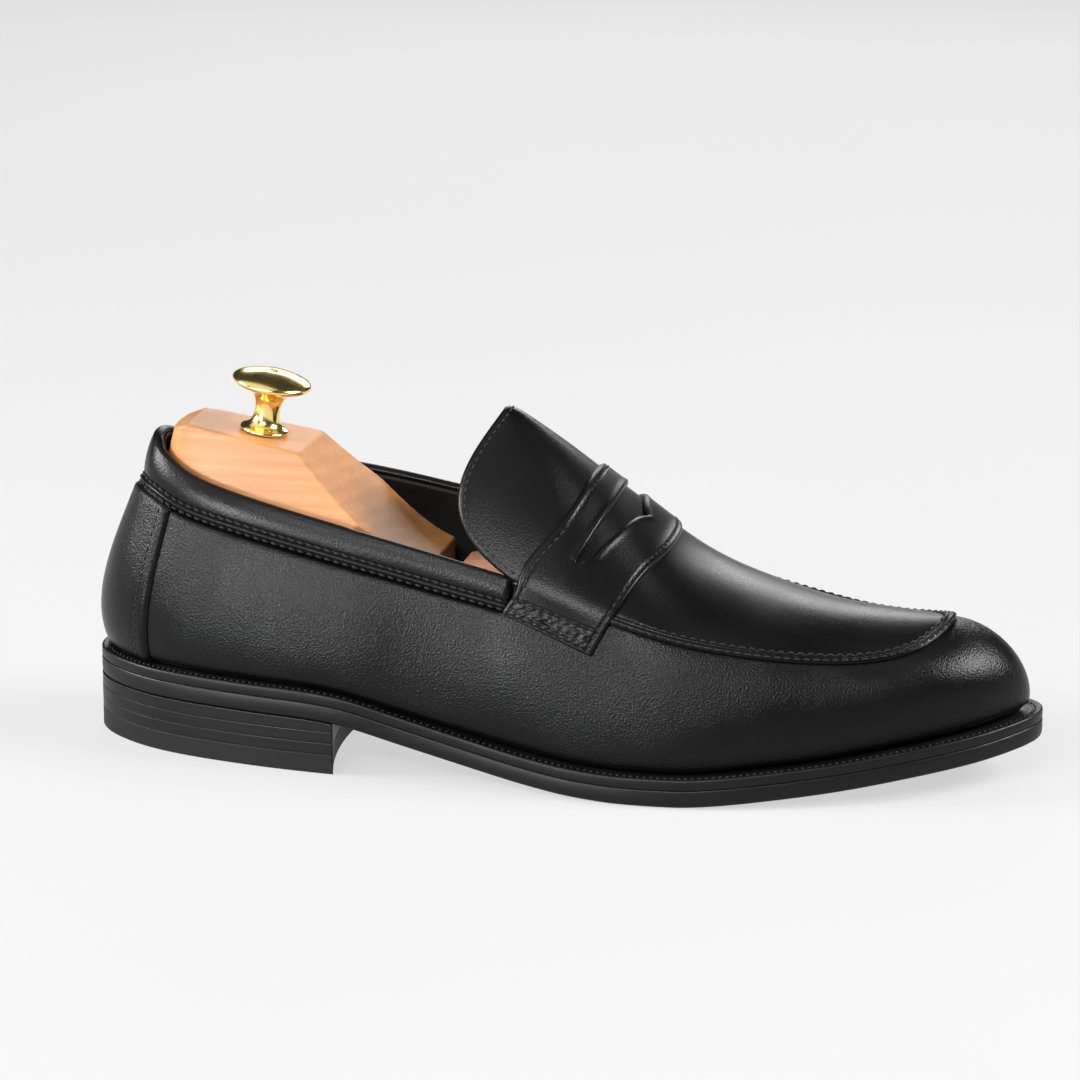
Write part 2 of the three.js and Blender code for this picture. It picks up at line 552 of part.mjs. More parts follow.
const BED = CURVED_GAP + LEATHER + CURVED_GAP; // underside of the insole above the welt
const bedInset = (a) => featherInset(fromAngle(a)) + LEATHER + STIFFENER + LINING + 2 * CURVED_GAP + 1.4;
const insole = slab(28, 3, footPlan(0, 1, bedInset), (x) => seatZ(x) + BED, (x) => seatZ(x) + BED + INSOLE);
const headSeat = seatZ(SCREW_X) + BED + INSOLE - 1.6;
const screwHead = () => bore(SCREW_X * LENGTH_K, 0, headSeat, 60, SCREW_HEAD_D + 2 * GAP);
add('insole', subtract(insole, screwHole(), screwHead()), 0xa9825a, 0.8);
const SOCK_Z = BED + INSOLE + GAP;
add('sock_liner', slab(28, 3, footPlan(0, 1, (a) => bedInset(a) + 0.5), (x) => seatZ(x) + SOCK_Z,
  (x) => seatZ(x) + SOCK_Z + SOCK), LINING_BLACK, 0.7);
const cork = slab(18, 3, (u, v) => {
  const a = toAngle(134 * LENGTH_K) + (1 - toAngle(134 * LENGTH_K)) * u;
  return mix(wall(a, -1.06).slice(0, 2), wall(-a, -1.06).slice(0, 2), v);
}, (x) => seatZ(x) + GAP, (x) => seatZ(x) + GAP + LEATHER);
add('cork_filler', cork, 0x8a6a45, 0.95);
const SHANK_FROM = 52;
const SHANK_TO = 128;
const SHANK_W = 14;
const shank = slab(12, 1, (u, v) => [(SHANK_FROM + (SHANK_TO - SHANK_FROM) * u) * LENGTH_K,
  SPINE_Y + SHANK_W * (v - 0.5)], (x) => seatZ(x) + GAP, (x) => seatZ(x) + GAP + 1.2);
add('shank', shank, STEEL, 0.4, 0.9);
function heelScrew() {
  const headTop = seatZ(SCREW_X) + BED + INSOLE - GAP;
  const foot = TOP_PIECE + 2 * GAP;
  const profile = [[0, foot], [SCREW_D / 2, foot + 1], [SCREW_D / 2, headTop - 1.2],
    [SCREW_HEAD_D / 2, headTop - 1.2], [SCREW_HEAD_D / 2, headTop], [0, headTop]]
    .map(([r, z]) => new THREE.Vector2(r, z));
  return new THREE.LatheGeometry(profile, 20).rotateX(Math.PI / 2).translate(SCREW_X * LENGTH_K, 0, 0);
}
add('heel_screw', heelScrew(), STEEL, 0.4, 0.9);

// ---------- shoe tree ----------
// Closed solid through a row of closed sections with the same number of points.
function loft(sections) {
  const n = sections.length;
  const m = sections[0].length;
  const points = sections.flat();
  const triangles = [];
  const id = (i, j) => i * m + (j % m);
  for (let i = 0; i < n - 1; i += 1) {
    for (let j = 0; j < m; j += 1) {
      triangles.push([id(i, j), id(i + 1, j), id(i + 1, j + 1)], [id(i, j), id(i + 1, j + 1), id(i, j + 1)]);
    }
  }
  const caps = [0, n - 1].map((i) => sections[i].reduce((a, p) => a.map((c, k) => c + p[k] / m), [0, 0, 0]));
  points.push(...caps);
  for (let j = 0; j < m; j += 1) {
    triangles.push([n * m, id(0, j), id(0, j + 1)], [n * m + 1, id(n - 1, j + 1), id(n - 1, j)]);
  }
  return meshSolid(points, triangles);
}
function extrudeAlongY(points, halfWidth) {
  const shape = new THREE.Shape(points.map(([x, z]) => new THREE.Vector2(x, z)));
  const geometry = new THREE.ExtrudeGeometry(shape, { depth: 2 * halfWidth, bevelEnabled: false });
  return geometry.translate(0, 0, -halfWidth).rotateX(Math.PI / 2);
}
function extrudeUp(points, z0, z1) {
  const shape = new THREE.Shape(points.map(([x, y]) => new THREE.Vector2(x, y)));
  return new THREE.ExtrudeGeometry(shape, { depth: z1 - z0, bevelEnabled: false }).translate(0, 0, z0);
}

const TREE_CLEAR = 0.6; // above the sock liner
const TREE_SIDE = 1.3; // beside the lining
const TREE_WALL = SKIN - LINING - TREE_SIDE; // outside of the tree below the wall's surface
const treeFloor = (x) => seatZ(x) + SOCK_Z + SOCK + TREE_CLEAR;
const TOP_X = 54; // middle of the knob's seat
const TOP_Z = 97.6;
const TOP_TILT = THREE.MathUtils.degToRad(10);
const TOP_HALF = 11.5;
const TOP_REAR = 28;
const TOP_FRONT = 69;
const topFaceZ = (x) => TOP_Z - Math.tan(TOP_TILT) * (x - TOP_X);
const FRONT_TOP = 62.7;
const STUD_DEEP = 16;
const STUD_HIGH = 9;
const FRONT_LOW = 39;
const RAMP_BOW = 0.72;

// The rod is fixed in the heel block and slides in the sleeve, which is fixed in the forepart.
const REST_PLAY = 0.5; // left between block and forepart at full travel
const FOREPART_REAR = BLOCK_FRONT + TREE_TRAVEL + REST_PLAY;
const SLEEVE_REAR = BLOCK_FRONT - 23;
const SLEEVE_FRONT = FOREPART_REAR + 32.5;
const ROD_REAR = SLEEVE_REAR - 23;
const ROD_FRONT = BLOCK_FRONT + 4;
const BORE_LEAD = 5; // how far a cutter runs out past a face
const along = (x0, x1, d, sides) => rodAlong('x', d, x1 - x0, sides).translate((x0 + x1) / 2, 0, ROD_Z);
const sleeveBore = (x0, x1) => along(x0, x1, SLEEVE_D + 2 * GAP);
const rodSocket = () => along(ROD_REAR - GAP, SLEEVE_REAR, ROD_D + 2 * GAP);
function onTop(geometry, lift = 0) {
  return geometry.translate(0, 0, lift).rotateY(TOP_TILT).translate(TOP_X, 0, TOP_Z);
}
function studSocket() {
  return onTop(rodAlong('z', STUD_D + 2 * GAP, STUD_DEEP + GAP + 5), (5 - STUD_DEEP - GAP) / 2);
}

function heelBlock() {
  const steps = 22;
  const end = toAngle((BLOCK_FRONT + 3) * LENGTH_K);
  const levels = 6;
  const side = (sign) => {
    const base = grid(steps, levels, (u, v) => wall(sign * end * u, 0.03 + 0.85 * v));
    return offsetGrid(base, TREE_WALL, fromSpine);
  };
  const [outer, inner] = [side(1), side(-1)];
  const sections = outer.map((row, i) => {
    const crestY = (y) => THREE.MathUtils.clamp(y, -TOP_HALF, TOP_HALF);
    const crest = (p) => [Math.max(p[0] + 4, TOP_REAR), crestY(p[1]), 104];
    const left = i === 0 ? row.map((p) => [p[0], 0, p[2]]) : row;
    const right = i === 0 ? left : inner[i];
    return [...left, crest(left[levels]), crest(right[levels]), ...right.slice().reverse()];
  });
  const profile = [[0, treeFloor(20)], [0, 84], [17, 95], [24, 99.4], [TOP_REAR + 4, topFaceZ(TOP_REAR + 4)],
    [TOP_FRONT, topFaceZ(TOP_FRONT)]];
  const ramp = 8;
  for (let i = 1; i <= ramp; i += 1) {
    const k = i / ramp;
    const z = THREE.MathUtils.lerp(topFaceZ(TOP_FRONT), FRONT_TOP, 1 - (1 - k) ** (1 / RAMP_BOW));
    profile.push([THREE.MathUtils.lerp(TOP_FRONT, BLOCK_FRONT, k), z]);
  }
  profile.push([BLOCK_FRONT, FRONT_LOW], [84, treeFloor(20)]);
  const past = BLOCK_FRONT + 4;
  const plan = [[-5, -34], [58, -32], [84, -24], [past, -13], [past, 14], [84, 23], [58, 31], [-5, 34]];
  const block = intersect(loft(sections), extrudeAlongY(profile, 60), extrudeUp(plan, 0, 130));
  const slide = sleeveBore(SLEEVE_REAR - TREE_TRAVEL - 3, BLOCK_FRONT + BORE_LEAD);
  return subtract(block, slide, rodSocket(), studSocket());
}
add('tree_heel_block', heelBlock(), WOOD, 0.5);
const sleeveHole = along(SLEEVE_REAR - 1, SLEEVE_FRONT + 1, SLEEVE_D - 2 * SLEEVE_WALL);
add('tree_sleeve', subtract(along(SLEEVE_REAR, SLEEVE_FRONT, SLEEVE_D), sleeveHole), STEEL, 0.3, 1);
add('tree_rod', along(ROD_REAR, ROD_FRONT, ROD_D), STEEL, 0.3, 1);

function coil(length, outerD, wire, turns) {
  const points = [];
  const steps = turns * 10;
  const radius = (outerD - wire) / 2;
  for (let i = 0; i <= steps; i += 1) {
    const angle = 2 * Math.PI * turns * i / steps;
    points.push(new THREE.Vector3(wire / 2 + (length - wire) * i / steps, radius * Math.cos(angle),
      radius * Math.sin(angle)));
  }
  const section = new THREE.Shape();
  for (let i = 0; i < 5; i += 1) {
    const angle = 2 * Math.PI * i / 5;
    const point = [wire / 2 * Math.cos(angle), wire / 2 * Math.sin(angle)];
    if (i === 0) section.moveTo(...point);
    else section.lineTo(...point);
  }
  const path = new THREE.CatmullRomCurve3(points);
  return new THREE.ExtrudeGeometry(section, { steps, extrudePath: path, bevelEnabled: false });
}
const MAIN_WIRE = 1.1;
const SPREAD_WIRE = 1;
const SPRING_ROOM = SLEEVE_FRONT - ROD_FRONT - 2 * GAP;
add('tree_main_spring', coil(SPRING_ROOM, SLEEVE_D - 2 * (SLEEVE_WALL + SPRING_CLEAR), MAIN_WIRE, 6)
  .translate(ROD_FRONT + GAP, 0, ROD_Z), STEEL, 0.35, 1);

// Half width of the last where the forepart fills it; the forepart stays clear of the lining there.
const FOREPART_TIP = 266;
const lastHalf = through([[118, 22.5], [130, 30.5], [150, 37.5], [170, 41.5], [188, 43], [205, 42.1],
  [225, 37.5], [245, 30.1], [258, 22], [FOREPART_TIP, 11.5]].map(([x, w]) => [x * LENGTH_K, w * WIDTH_K]));
const treeHalfWidth = (x) => Math.max(lastHalf(x) + TREE_WALL, 3);
const treeTop = through([[118, 60], [135, 63], [150, 63], [165, 60], [185, 54], [205, 47.5], [225, 42.6],
  [245, 37.6], [258, 33], [FOREPART_TIP, 28]].map(([x, z]) => [x * LENGTH_K, z]));
const treeLow = (x) => Math.max(treeFloor(x), 38 - (x - FOREPART_REAR) * 0.62);
function forepart() {
  const stations = 13;
  const sections = [];
  for (let i = 0; i <= stations; i += 1) {
    const x = FOREPART_REAR + (FOREPART_TIP * LENGTH_K - FOREPART_REAR) * Math.sin(Math.PI / 2 * i / stations);
    const [low, high, half] = [treeLow(x), treeTop(x), treeHalfWidth(x)];
    const section = [];
    const count = 16;
    for (let j = 0; j < count; j += 1) {
      const angle = 2 * Math.PI * j / count;
      const round = (c) => Math.sign(c) * Math.abs(c) ** 0.8;
      const z = (low + high) / 2 + (high - low) / 2 * round(Math.sin(angle));
      section.push([x, SPINE_Y + half * round(Math.cos(angle)), z]);
    }
    sections.push(section);
  }
  return loft(sections);
}
const MAIN_FACE = SPLIT_Y - SPLIT_GAP / 2;
const SIDE_FACE = SPLIT_Y + SPLIT_GAP / 2;
const PIN_FROM = MAIN_FACE - 14;
const PIN_TO = SIDE_FACE + 12;
const PINS = [[172, 34], [222, 32]];
const SPRING_SEAT = 6;
const SPREAD_D = 8;
const across = (x, z, y0, y1, d, sides) => rodAlong('y', d, y1 - y0, sides).translate(x, (y0 + y1) / 2, z);
const keep = (y0, y1) => new THREE.BoxGeometry(300, y1 - y0, 200).translate(180, (y0 + y1) / 2, 60);
const pinBores = (y0, y1) => PINS.map(([x, z]) => across(x * LENGTH_K, z, y0, y1, PIN_D + 2 * GAP));
const SPRING_X = PINS[1][0] * LENGTH_K; // the spread spring sits round the front guide pin
const SPRING_Z = PINS[1][1];
const seatFrom = MAIN_FACE - SPRING_SEAT;
const seatTo = SIDE_FACE + SPRING_SEAT;
const springSeat = () => across(SPRING_X, SPRING_Z, seatFrom, seatTo, SPREAD_D + 1);
const mainHalf = subtract(intersect(forepart(), keep(-60, MAIN_FACE)), springSeat(),
  sleeveBore(FOREPART_REAR - BORE_LEAD, SLEEVE_FRONT + GAP),
  ...pinBores(PIN_FROM - GAP, MAIN_FACE + BORE_LEAD));
add('tree_forepart_main', mainHalf, CEDAR, 0.6);
const sideHalf = subtract(intersect(forepart(), keep(SIDE_FACE, 70)), springSeat(),
  ...pinBores(SIDE_FACE - BORE_LEAD, PIN_TO + 5));
add('tree_forepart_side', sideHalf, CEDAR, 0.6);
PINS.forEach(([x, z], i) => {
  const pin = across(x * LENGTH_K, z, PIN_FROM, PIN_TO, PIN_D, 16);
  add(`tree_guide_pin_${i + 1}`, pin, STEEL, 0.3, 1);
});
const SPREAD_LENGTH = SPLIT_GAP + 2 * SPRING_SEAT - 2 * GAP;
add('tree_spread_spring', coil(SPREAD_LENGTH, SPREAD_D, SPREAD_WIRE, 4).rotateZ(Math.PI / 2)
  .translate(SPRING_X, SPLIT_Y - SPREAD_LENGTH / 2, SPRING_Z), STEEL, 0.35, 1);

// ---------- knob ----------
function knob() {
  const R = KNOB_D / 2;
  const H = KNOB_HEIGHT;
  const profile = [[0, GAP], [7.6, GAP], [7.7, 1.2], [6.6, 2.4], [4.8, 3.6], [4, 6.4], [4, 9], [5, 11.4],
    [7.6, 13.4], [R - 0.8, H - 5], [R, H - 3.9], [R - 0.5, H - 2.8], [R * 0.7, H - 1],
    [R * 0.35, H - 0.2], [0, H]].map(([r, z]) => new THREE.Vector2(r, z));
  const body = new THREE.LatheGeometry(profile, 20).rotateX(Math.PI / 2);
  return onTop(subtract(body, rodAlong('z', STUD_D + 2 * GAP, 2 * (STUD_HIGH + GAP))));
}
add('tree_knob', knob(), GOLD, 0.15, 1);
const stud = rodAlong('z', STUD_D, STUD_DEEP + STUD_HIGH);
add('tree_knob_stud', onTop(stud, (STUD_HIGH - STUD_DEEP) / 2), STEEL, 0.35, 1);

// ---------- frame ----------
const box = new THREE.Box3().setFromObject(shoe);
const middle = box.getCenter(new THREE.Vector3());
shoe.position.set(-middle.x, -middle.y, -box.min.z);

export default shoe;
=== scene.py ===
"""Looks of a black penny loafer with its wooden shoe tree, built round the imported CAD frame."""

import math

import bmesh
import bpy
import numpy as np
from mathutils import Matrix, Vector


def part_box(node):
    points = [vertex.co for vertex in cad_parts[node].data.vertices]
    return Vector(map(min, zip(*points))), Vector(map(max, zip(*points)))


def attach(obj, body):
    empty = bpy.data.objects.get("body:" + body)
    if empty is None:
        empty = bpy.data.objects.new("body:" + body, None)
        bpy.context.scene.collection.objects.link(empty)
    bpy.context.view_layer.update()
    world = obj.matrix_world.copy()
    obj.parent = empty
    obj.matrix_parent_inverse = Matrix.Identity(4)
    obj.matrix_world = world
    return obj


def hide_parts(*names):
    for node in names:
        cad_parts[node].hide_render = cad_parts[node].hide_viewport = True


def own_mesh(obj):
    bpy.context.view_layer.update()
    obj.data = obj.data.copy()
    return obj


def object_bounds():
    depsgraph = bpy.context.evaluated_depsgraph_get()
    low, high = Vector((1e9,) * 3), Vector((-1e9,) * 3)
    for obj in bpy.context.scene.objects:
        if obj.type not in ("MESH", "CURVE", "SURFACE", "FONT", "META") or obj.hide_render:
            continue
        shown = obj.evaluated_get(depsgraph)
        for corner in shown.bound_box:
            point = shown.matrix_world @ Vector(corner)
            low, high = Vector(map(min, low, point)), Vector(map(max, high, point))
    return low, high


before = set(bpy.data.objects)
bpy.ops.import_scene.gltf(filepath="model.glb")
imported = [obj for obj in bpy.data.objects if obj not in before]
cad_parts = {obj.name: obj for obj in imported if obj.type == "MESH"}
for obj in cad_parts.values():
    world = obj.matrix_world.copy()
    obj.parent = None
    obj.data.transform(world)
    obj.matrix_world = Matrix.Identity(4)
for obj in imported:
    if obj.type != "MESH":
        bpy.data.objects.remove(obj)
CAD_BOX = [list(map(float, corner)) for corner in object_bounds()]

# ---------------------------------------------------------------- frame
# Shapes below are worked out in millimetres from the heel back, as the shoe is measured, and then
# placed in the row's frame: the box gives the heel back and the ground, the heel screw the middle line.
MM = 0.001
SCREW_LOW, SCREW_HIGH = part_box("heel_screw")
ORIGIN = np.array([CAD_BOX[0][0], (SCREW_LOW[1] + SCREW_HIGH[1]) / 2, CAD_BOX[0][2]])
LENGTH = 300.0


def place(points):
    """Millimetres from the heel back to metres in the row's frame."""
    return np.asarray(points, float) * MM + ORIGIN


# ---------------------------------------------------------------- curves
class Through:
    """A smooth curve through points given as (x, y), read as y at x."""

    def __init__(self, points, level_ends=False):
        self.x = np.array([p[0] for p in points], float)
        self.y = np.array([p[1] for p in points], float)
        x, y = self.x, self.y
        self.slope = np.empty(len(x))
        self.slope[1:-1] = (y[2:] - y[:-2]) / (x[2:] - x[:-2])
        self.slope[0] = 0 if level_ends else (y[1] - y[0]) / (x[1] - x[0])
        self.slope[-1] = 0 if level_ends else (y[-1] - y[-2]) / (x[-1] - x[-2])

    def __call__(self, at):
        at = np.asarray(at, float)
        i = np.clip(np.searchsorted(self.x, at, side="right") - 1, 0, len(self.x) - 2)
        h = self.x[i + 1] - self.x[i]
        t = np.clip((at - self.x[i]) / h, 0, 1)
        t2, t3 = t * t, t * t * t
        return ((2 * t3 - 3 * t2 + 1) * self.y[i] + (t3 - 2 * t2 + t) * h * self.slope[i]
                + (3 * t2 - 2 * t3) * self.y[i + 1] + (t3 - t2) * h * self.slope[i + 1])


def to_share(x):
    """Share of the way round from the heel back (0) to the toe tip (1) at length x."""
    return np.arccos(1 - 2 * np.clip(np.asarray(x, float) / LENGTH, 0, 1)) / math.pi


def from_share(a):
    return LENGTH * (1 - np.cos(math.pi * np.asarray(a, float))) / 2


def smooth(x, low, high):
    t = np.clip((np.asarray(x, float) - low) / (high - low), 0, 1)
    return t * t * (3 - 2 * t)


def bump(x, centre, width):
    """A soft bump of height 1 at centre; width is where it has dropped to a third."""
    return np.exp(-((np.asarray(x, float) - centre) / width) ** 2)


# ---------------------------------------------------------------- the last
TOE_Y = 6.4
OUTER_EDGE = Through([(to_share(x), y) for x, y in [
    (0, 0), (3, -10.5), (10.8, -19.5), (27, -29.5), (55, -37.3), (86, -41.4), (107, -41), (127, -42.6),
    (147, -46.2), (166, -49.6), (185, -51.1), (205, -49.3), (223, -44.8), (245, -38), (268, -28.2),
    (283, -18.8), (294, -7.6), (300, TOE_Y)]])
INNER_EDGE = Through([(to_share(x), y) for x, y in [
    (0, 0), (3, 10.5), (10.8, 19), (27, 27.6), (55, 32.4), (86, 31.4), (107, 30), (127, 32), (147, 37),
    (166, 43), (185, 48), (205, 50.5), (223, 49.2), (245, 43.6), (268, 34), (283, 26.6), (294, 18.4),
    (300, TOE_Y)]])
HEEL_HEIGHT = 17.4
TOE_SPRING = 12.6
OUTSOLE, WELT, GAP, CURVED_GAP = 5.3, 3.0, 0.3, 0.5
SOLE = OUTSOLE + GAP + WELT
TREAD = Through([(0, HEEL_HEIGHT), (62, HEEL_HEIGHT - 0.1), (86, HEEL_HEIGHT - 1.3), (107, 10.7), (120, 7.6),
                 (133, 4.9), (147, 2.5), (160, 0.9), (176, 0), (196, 0), (212, 1.1), (228, 2.7), (245, 4.8),
                 (268, 8.2), (300, TOE_SPRING)])


def tread_z(x):
    flat = (x > 176) & (x < 196)
    return np.where(flat, 0, np.maximum(TREAD(x), 0))


def seat_z(x):
    return tread_z(x) + SOLE


# Stations round the upper: sole length, top x, top y, top z, foot bulge, foot rise, top bulge, top fall.
OUTER_WALL = [
    (0, 18.8, 0, 96, 11, 0.28, 2.6, 0.29), (3, 19.8, -7, 95, 10.6, 0.28, 3, 0.29),
    (10, 23.8, -13, 92, 9, 0.28, 4, 0.29), (26, 35, -19.4, 86.4, 6.6, 0.29, 5, 0.3),
    (50, 54, -24.2, 81.6, 5, 0.3, 5, 0.31), (85, 87, -28.4, 74.6, 4.4, 0.3, 4, 0.32),
    (120, 120, -32.6, 68, 4.4, 0.3, 3, 0.33), (147, 148, -36.6, 62.3, 4.4, 0.3, 4, 0.3),
    (170, 171, -37.2, 55.2, 4.2, 0.3, 6, 0.28), (195, 194, -36.4, 49, 4, 0.3, 7.4, 0.26),
    (222, 218, -32.6, 45, 3.8, 0.3, 8, 0.24), (245, 238.5, -26.6, 43, 3.4, 0.3, 9, 0.22),
    (265, 252.5, -21.4, 43.2, 3.2, 0.3, 11.4, 0.19), (281, 262.6, -14.6, 45, 3.2, 0.3, 15, 0.13),
    (292, 268.2, -6.4, 47.5, 3.2, 0.3, 18, 0.1), (300, 270.8, 3, 49.5, 3.2, 0.3, 19, 0.09)]
INNER_WALL = [
    (0, 18.8, 0, 96, 11, 0.28, 2.6, 0.29), (3, 19.8, 7, 95, 10.6, 0.28, 3, 0.29),
    (10, 23.8, 13, 92.6, 9, 0.28, 4, 0.29), (26, 35, 19.8, 88, 6.6, 0.29, 5, 0.3),
    (50, 54, 25.4, 84.6, 4.6, 0.3, 5, 0.31), (85, 87, 28.8, 79.6, 4.4, 0.3, 4, 0.32),
    (120, 120, 31.8, 72.6, 4.4, 0.3, 3, 0.33), (147, 148, 36.4, 65.6, 4.4, 0.3, 4, 0.3),
    (170, 171, 38.6, 58, 4.2, 0.3, 6, 0.28), (195, 194, 38.6, 51.6, 4, 0.3, 7.4, 0.26),
    (222, 218, 36, 46.8, 3.8, 0.3, 8, 0.24), (245, 238.5, 31, 44, 3.4, 0.3, 9, 0.22),
    (265, 252.5, 26.6, 43.6, 3.2, 0.3, 11.4, 0.19), (281, 262.6, 20.2, 45.2, 3.2, 0.3, 15, 0.13),
    (292, 268.2, 12.4, 47.5, 3.2, 0.3, 18, 0.1), (300, 270.8, 3, 49.5, 3.2, 0.3, 19, 0.09)]
FEATHER_INSET = Through([(0, 4.6), (30, 3.6), (100, 3.2), (170, 4.6), (260, 5), (300, 4.8)])
SPINE_Y = 2.0
LEATHER, STIFFENER, LINING = 1.4, 0.9, 0.9
MARGIN = 12.0
BACKING = -LEATHER - CURVED_GAP
SKIN = BACKING - STIFFENER - CURVED_GAP
INSIDE = SKIN - LINING


def spine_x(x):
    return np.clip(x, 45, 235)


class Side:
    """One side of the shoe: the wall of the upper over that side of the sole's outline."""

    def __init__(self, rows, edge, sign):
        self.edge, self.sign = edge, sign
        shares = [float(to_share(r[0])) for r in rows]
        self.columns = [Through([(a, r[k]) for a, r in zip(shares, rows)], level_ends=k != 2)
                        for k in range(1, 8)]

    def outward(self, a):
        step = 1e-3
        a0, a1 = np.maximum(a - step, 0), np.minimum(a + step, 1)
        dx, dy = from_share(a1) - from_share(a0), self.edge(a1) - self.edge(a0)
        size = np.hypot(dx, dy)
        ox, oy = -self.sign * dy / size, self.sign * dx / size
        ox = np.where(a < 1e-6, -1, np.where(a > 1 - 1e-6, 1, ox))
        oy = np.where((a < 1e-6) | (a > 1 - 1e-6), 0, oy)
        return ox, oy

    def foot(self, a, inset=None):
        x = from_share(a)
        ox, oy = self.outward(a)
        d = FEATHER_INSET(x) if inset is None else inset
        fx = x - ox * d
        return fx, self.edge(a) - oy * d, seat_z(x) + CURVED_GAP, ox, oy

    def wall(self, a, t):
        fx, fy, fz, ox, oy = self.foot(a)
        tx, ty, tz, foot_b, foot_h, top_b, top_h = [c(a) for c in self.columns]
        height = tz - fz
        u = 1 - t
        w0, w1, w2, w3 = u ** 3, 3 * u * u * t, 3 * u * t * t, t ** 3
        x = w0 * fx + w1 * (fx + ox * foot_b) + w2 * (tx + ox * top_b) + w3 * tx
        y = w0 * fy + w1 * (fy + oy * foot_b) + w2 * (ty + oy * top_b) + w3 * ty
        z = w0 * fz + w1 * (fz + height * foot_h) + w2 * (tz - height * top_h) + w3 * tz
        # the lasting margin, turned in under the insole
        inx, iny = spine_x(fx) - fx, SPINE_Y - fy
        size = np.hypot(inx, iny)
        mx, my = fx - inx / size * MARGIN * t, fy - iny / size * MARGIN * t
        under = t < 0
        return np.stack([np.where(under, mx, x), np.where(under, my, y),
                         np.where(under, seat_z(mx) + CURVED_GAP, z)], -1)


OUTER = Side(OUTER_WALL, OUTER_EDGE, -1)
INNER = Side(INNER_WALL, INNER_EDGE, 1)


def sides(s):
    """Which side each s is on, and its share of the way to the toe.
    s runs 0..1 round the outer side from the heel back to the toe, 1..2 back round the inner side;
    below 0 it runs round the inner side from the heel."""
    inner = (s < 0) | (s > 1)
    return inner, np.where(s < 0, -s, np.where(s > 1, 2 - s, s))


def wall(s, t):
    s, t = np.broadcast_arrays(np.asarray(s, float), np.asarray(t, float))
    inner, a = sides(s)
    return np.where(inner[..., None], INNER.wall(a, t), OUTER.wall(a, t))


def wall_height(s):
    s = np.asarray(s, float)
    inner, a = sides(s)
    out = []
    for side in (OUTER, INNER):
        out.append(side.columns[2](a) - side.foot(a)[2])
    return np.where(inner, out[1], out[0])


def from_spine(p):
    return np.stack([p[..., 0] - spine_x(p[..., 0]), p[..., 1] - SPINE_Y, 0 * p[..., 0]], -1)


def unit(v):
    return v / np.maximum(np.linalg.norm(v, axis=-1, keepdims=True), 1e-12)


def wall_normal(s, t):
    e = 2e-3
    t = np.maximum(t, 0.004)
    du = wall(s + e, t) - wall(s - e, t)
    dv = wall(s, np.minimum(t + e, 1.2)) - wall(s, np.maximum(t - e, 0.0))
    n = unit(np.cross(du, dv))
    flip = np.sum(n * from_spine(wall(s, t)), -1) < 0
    return np.where(flip[..., None], -n, n)


def on_wall(s, t, offset):
    return wall(s, t) + wall_normal(s, t) * np.asarray(offset)[..., None]


# ---------------------------------------------------------------- apron and tongue
SEAM_BACK, SEAM_TOE = float(to_share(143)), float(to_share(276))
CROWN = Through([(0, 109.4), (0.035, 107.6), (0.12, 98.9), (0.25, 84), (0.4, 66.3), (0.55, 56.9),
                 (0.7, 51.6), (0.85, 49.8), (1, 49.6)])
ARCH_POWER = Through([(0, 1.7), (0.3, 2.09), (0.6, 2.06), (1, 2.14)])


def apron(u, v):
    u, v = np.broadcast_arrays(np.asarray(u, float), np.asarray(v, float))
    s = SEAM_BACK + (SEAM_TOE - SEAM_BACK) * v
    left, right = wall(s, 1.0), wall(2 - s, 1.0)
    end = wall(1 + u * (1 - SEAM_TOE), 1.0)
    turn = (np.clip((v - 0.8) / 0.2, 0, None) ** 2)[..., None]
    k = ((u + 1) / 2)[..., None]
    chord, mid = left + (right - left) * k, (left + right) / 2
    top = np.stack([131 + 140 * v, np.full_like(v, SPINE_Y + 1), CROWN(v)], -1)
    a = np.abs(u)
    arch = 1 - a ** ARCH_POWER(v)
    ear = 46 * np.clip(1 - v / 0.12, 0, None) ** 1.5 * a ** 1.8 * (1 - a ** 2.8)
    swell = np.sign(u) * 5.6 * np.clip(1 - v / 0.6, 0, None) * a * a * (1 - a)
    p = chord.copy()
    p[..., 0] += (top - mid)[..., 0] * (1 - u * u) - ear
    p[..., 1] += (top - mid)[..., 1] * arch + swell
    p[..., 2] += (top - mid)[..., 2] * arch
    return p + (end - p) * turn


def apron_normal(u, v):
    e = 2e-3
    u0, u1 = np.clip(u - e, -1, 1), np.clip(u + e, -1, 1)
    v0, v1 = np.clip(v - e, 0, 1), np.clip(v + e, 0, 1)
    n = unit(np.cross(apron(u1, v) - apron(u0, v), apron(u, v1) - apron(u, v0)))
    p = apron(u, v)
    away = np.stack([0 * p[..., 0], (p[..., 1] - SPINE_Y) * 0.5, 0 * p[..., 0] + 30], -1)
    flip = np.sum(n * away, -1) < 0
    return np.where(flip[..., None], -n, n)


def on_apron(u, v, offset):
    return apron(u, v) + apron_normal(u, v) * np.asarray(offset)[..., None]


# ---------------------------------------------------------------- meshes
def mesh_object(name, points, faces, material):
    mesh = bpy.data.meshes.new(name)
    mesh.from_pydata(points.reshape(-1, 3).tolist(), [], faces)
    mesh.validate()
    mesh.update()
    obj = bpy.data.objects.new(name, mesh)
    bpy.context.scene.collection.objects.link(obj)
    obj.data.materials.append(material)
    for polygon in mesh.polygons:
        polygon.use_smooth = True
    return obj


def outward_faces(obj):
    """Turns the faces of a closed mesh outward."""
    bm = bmesh.new()
    bm.from_mesh(obj.data)
    bmesh.ops.remove_doubles(bm, verts=bm.verts, dist=1e-7)
    bmesh.ops.dissolve_degenerate(bm, dist=1e-8, edges=bm.edges)
    bmesh.ops.recalc_face_normals(bm, faces=bm.faces)
    bm.to_mesh(obj.data)
    bm.free()
    obj.data.update()
    return obj


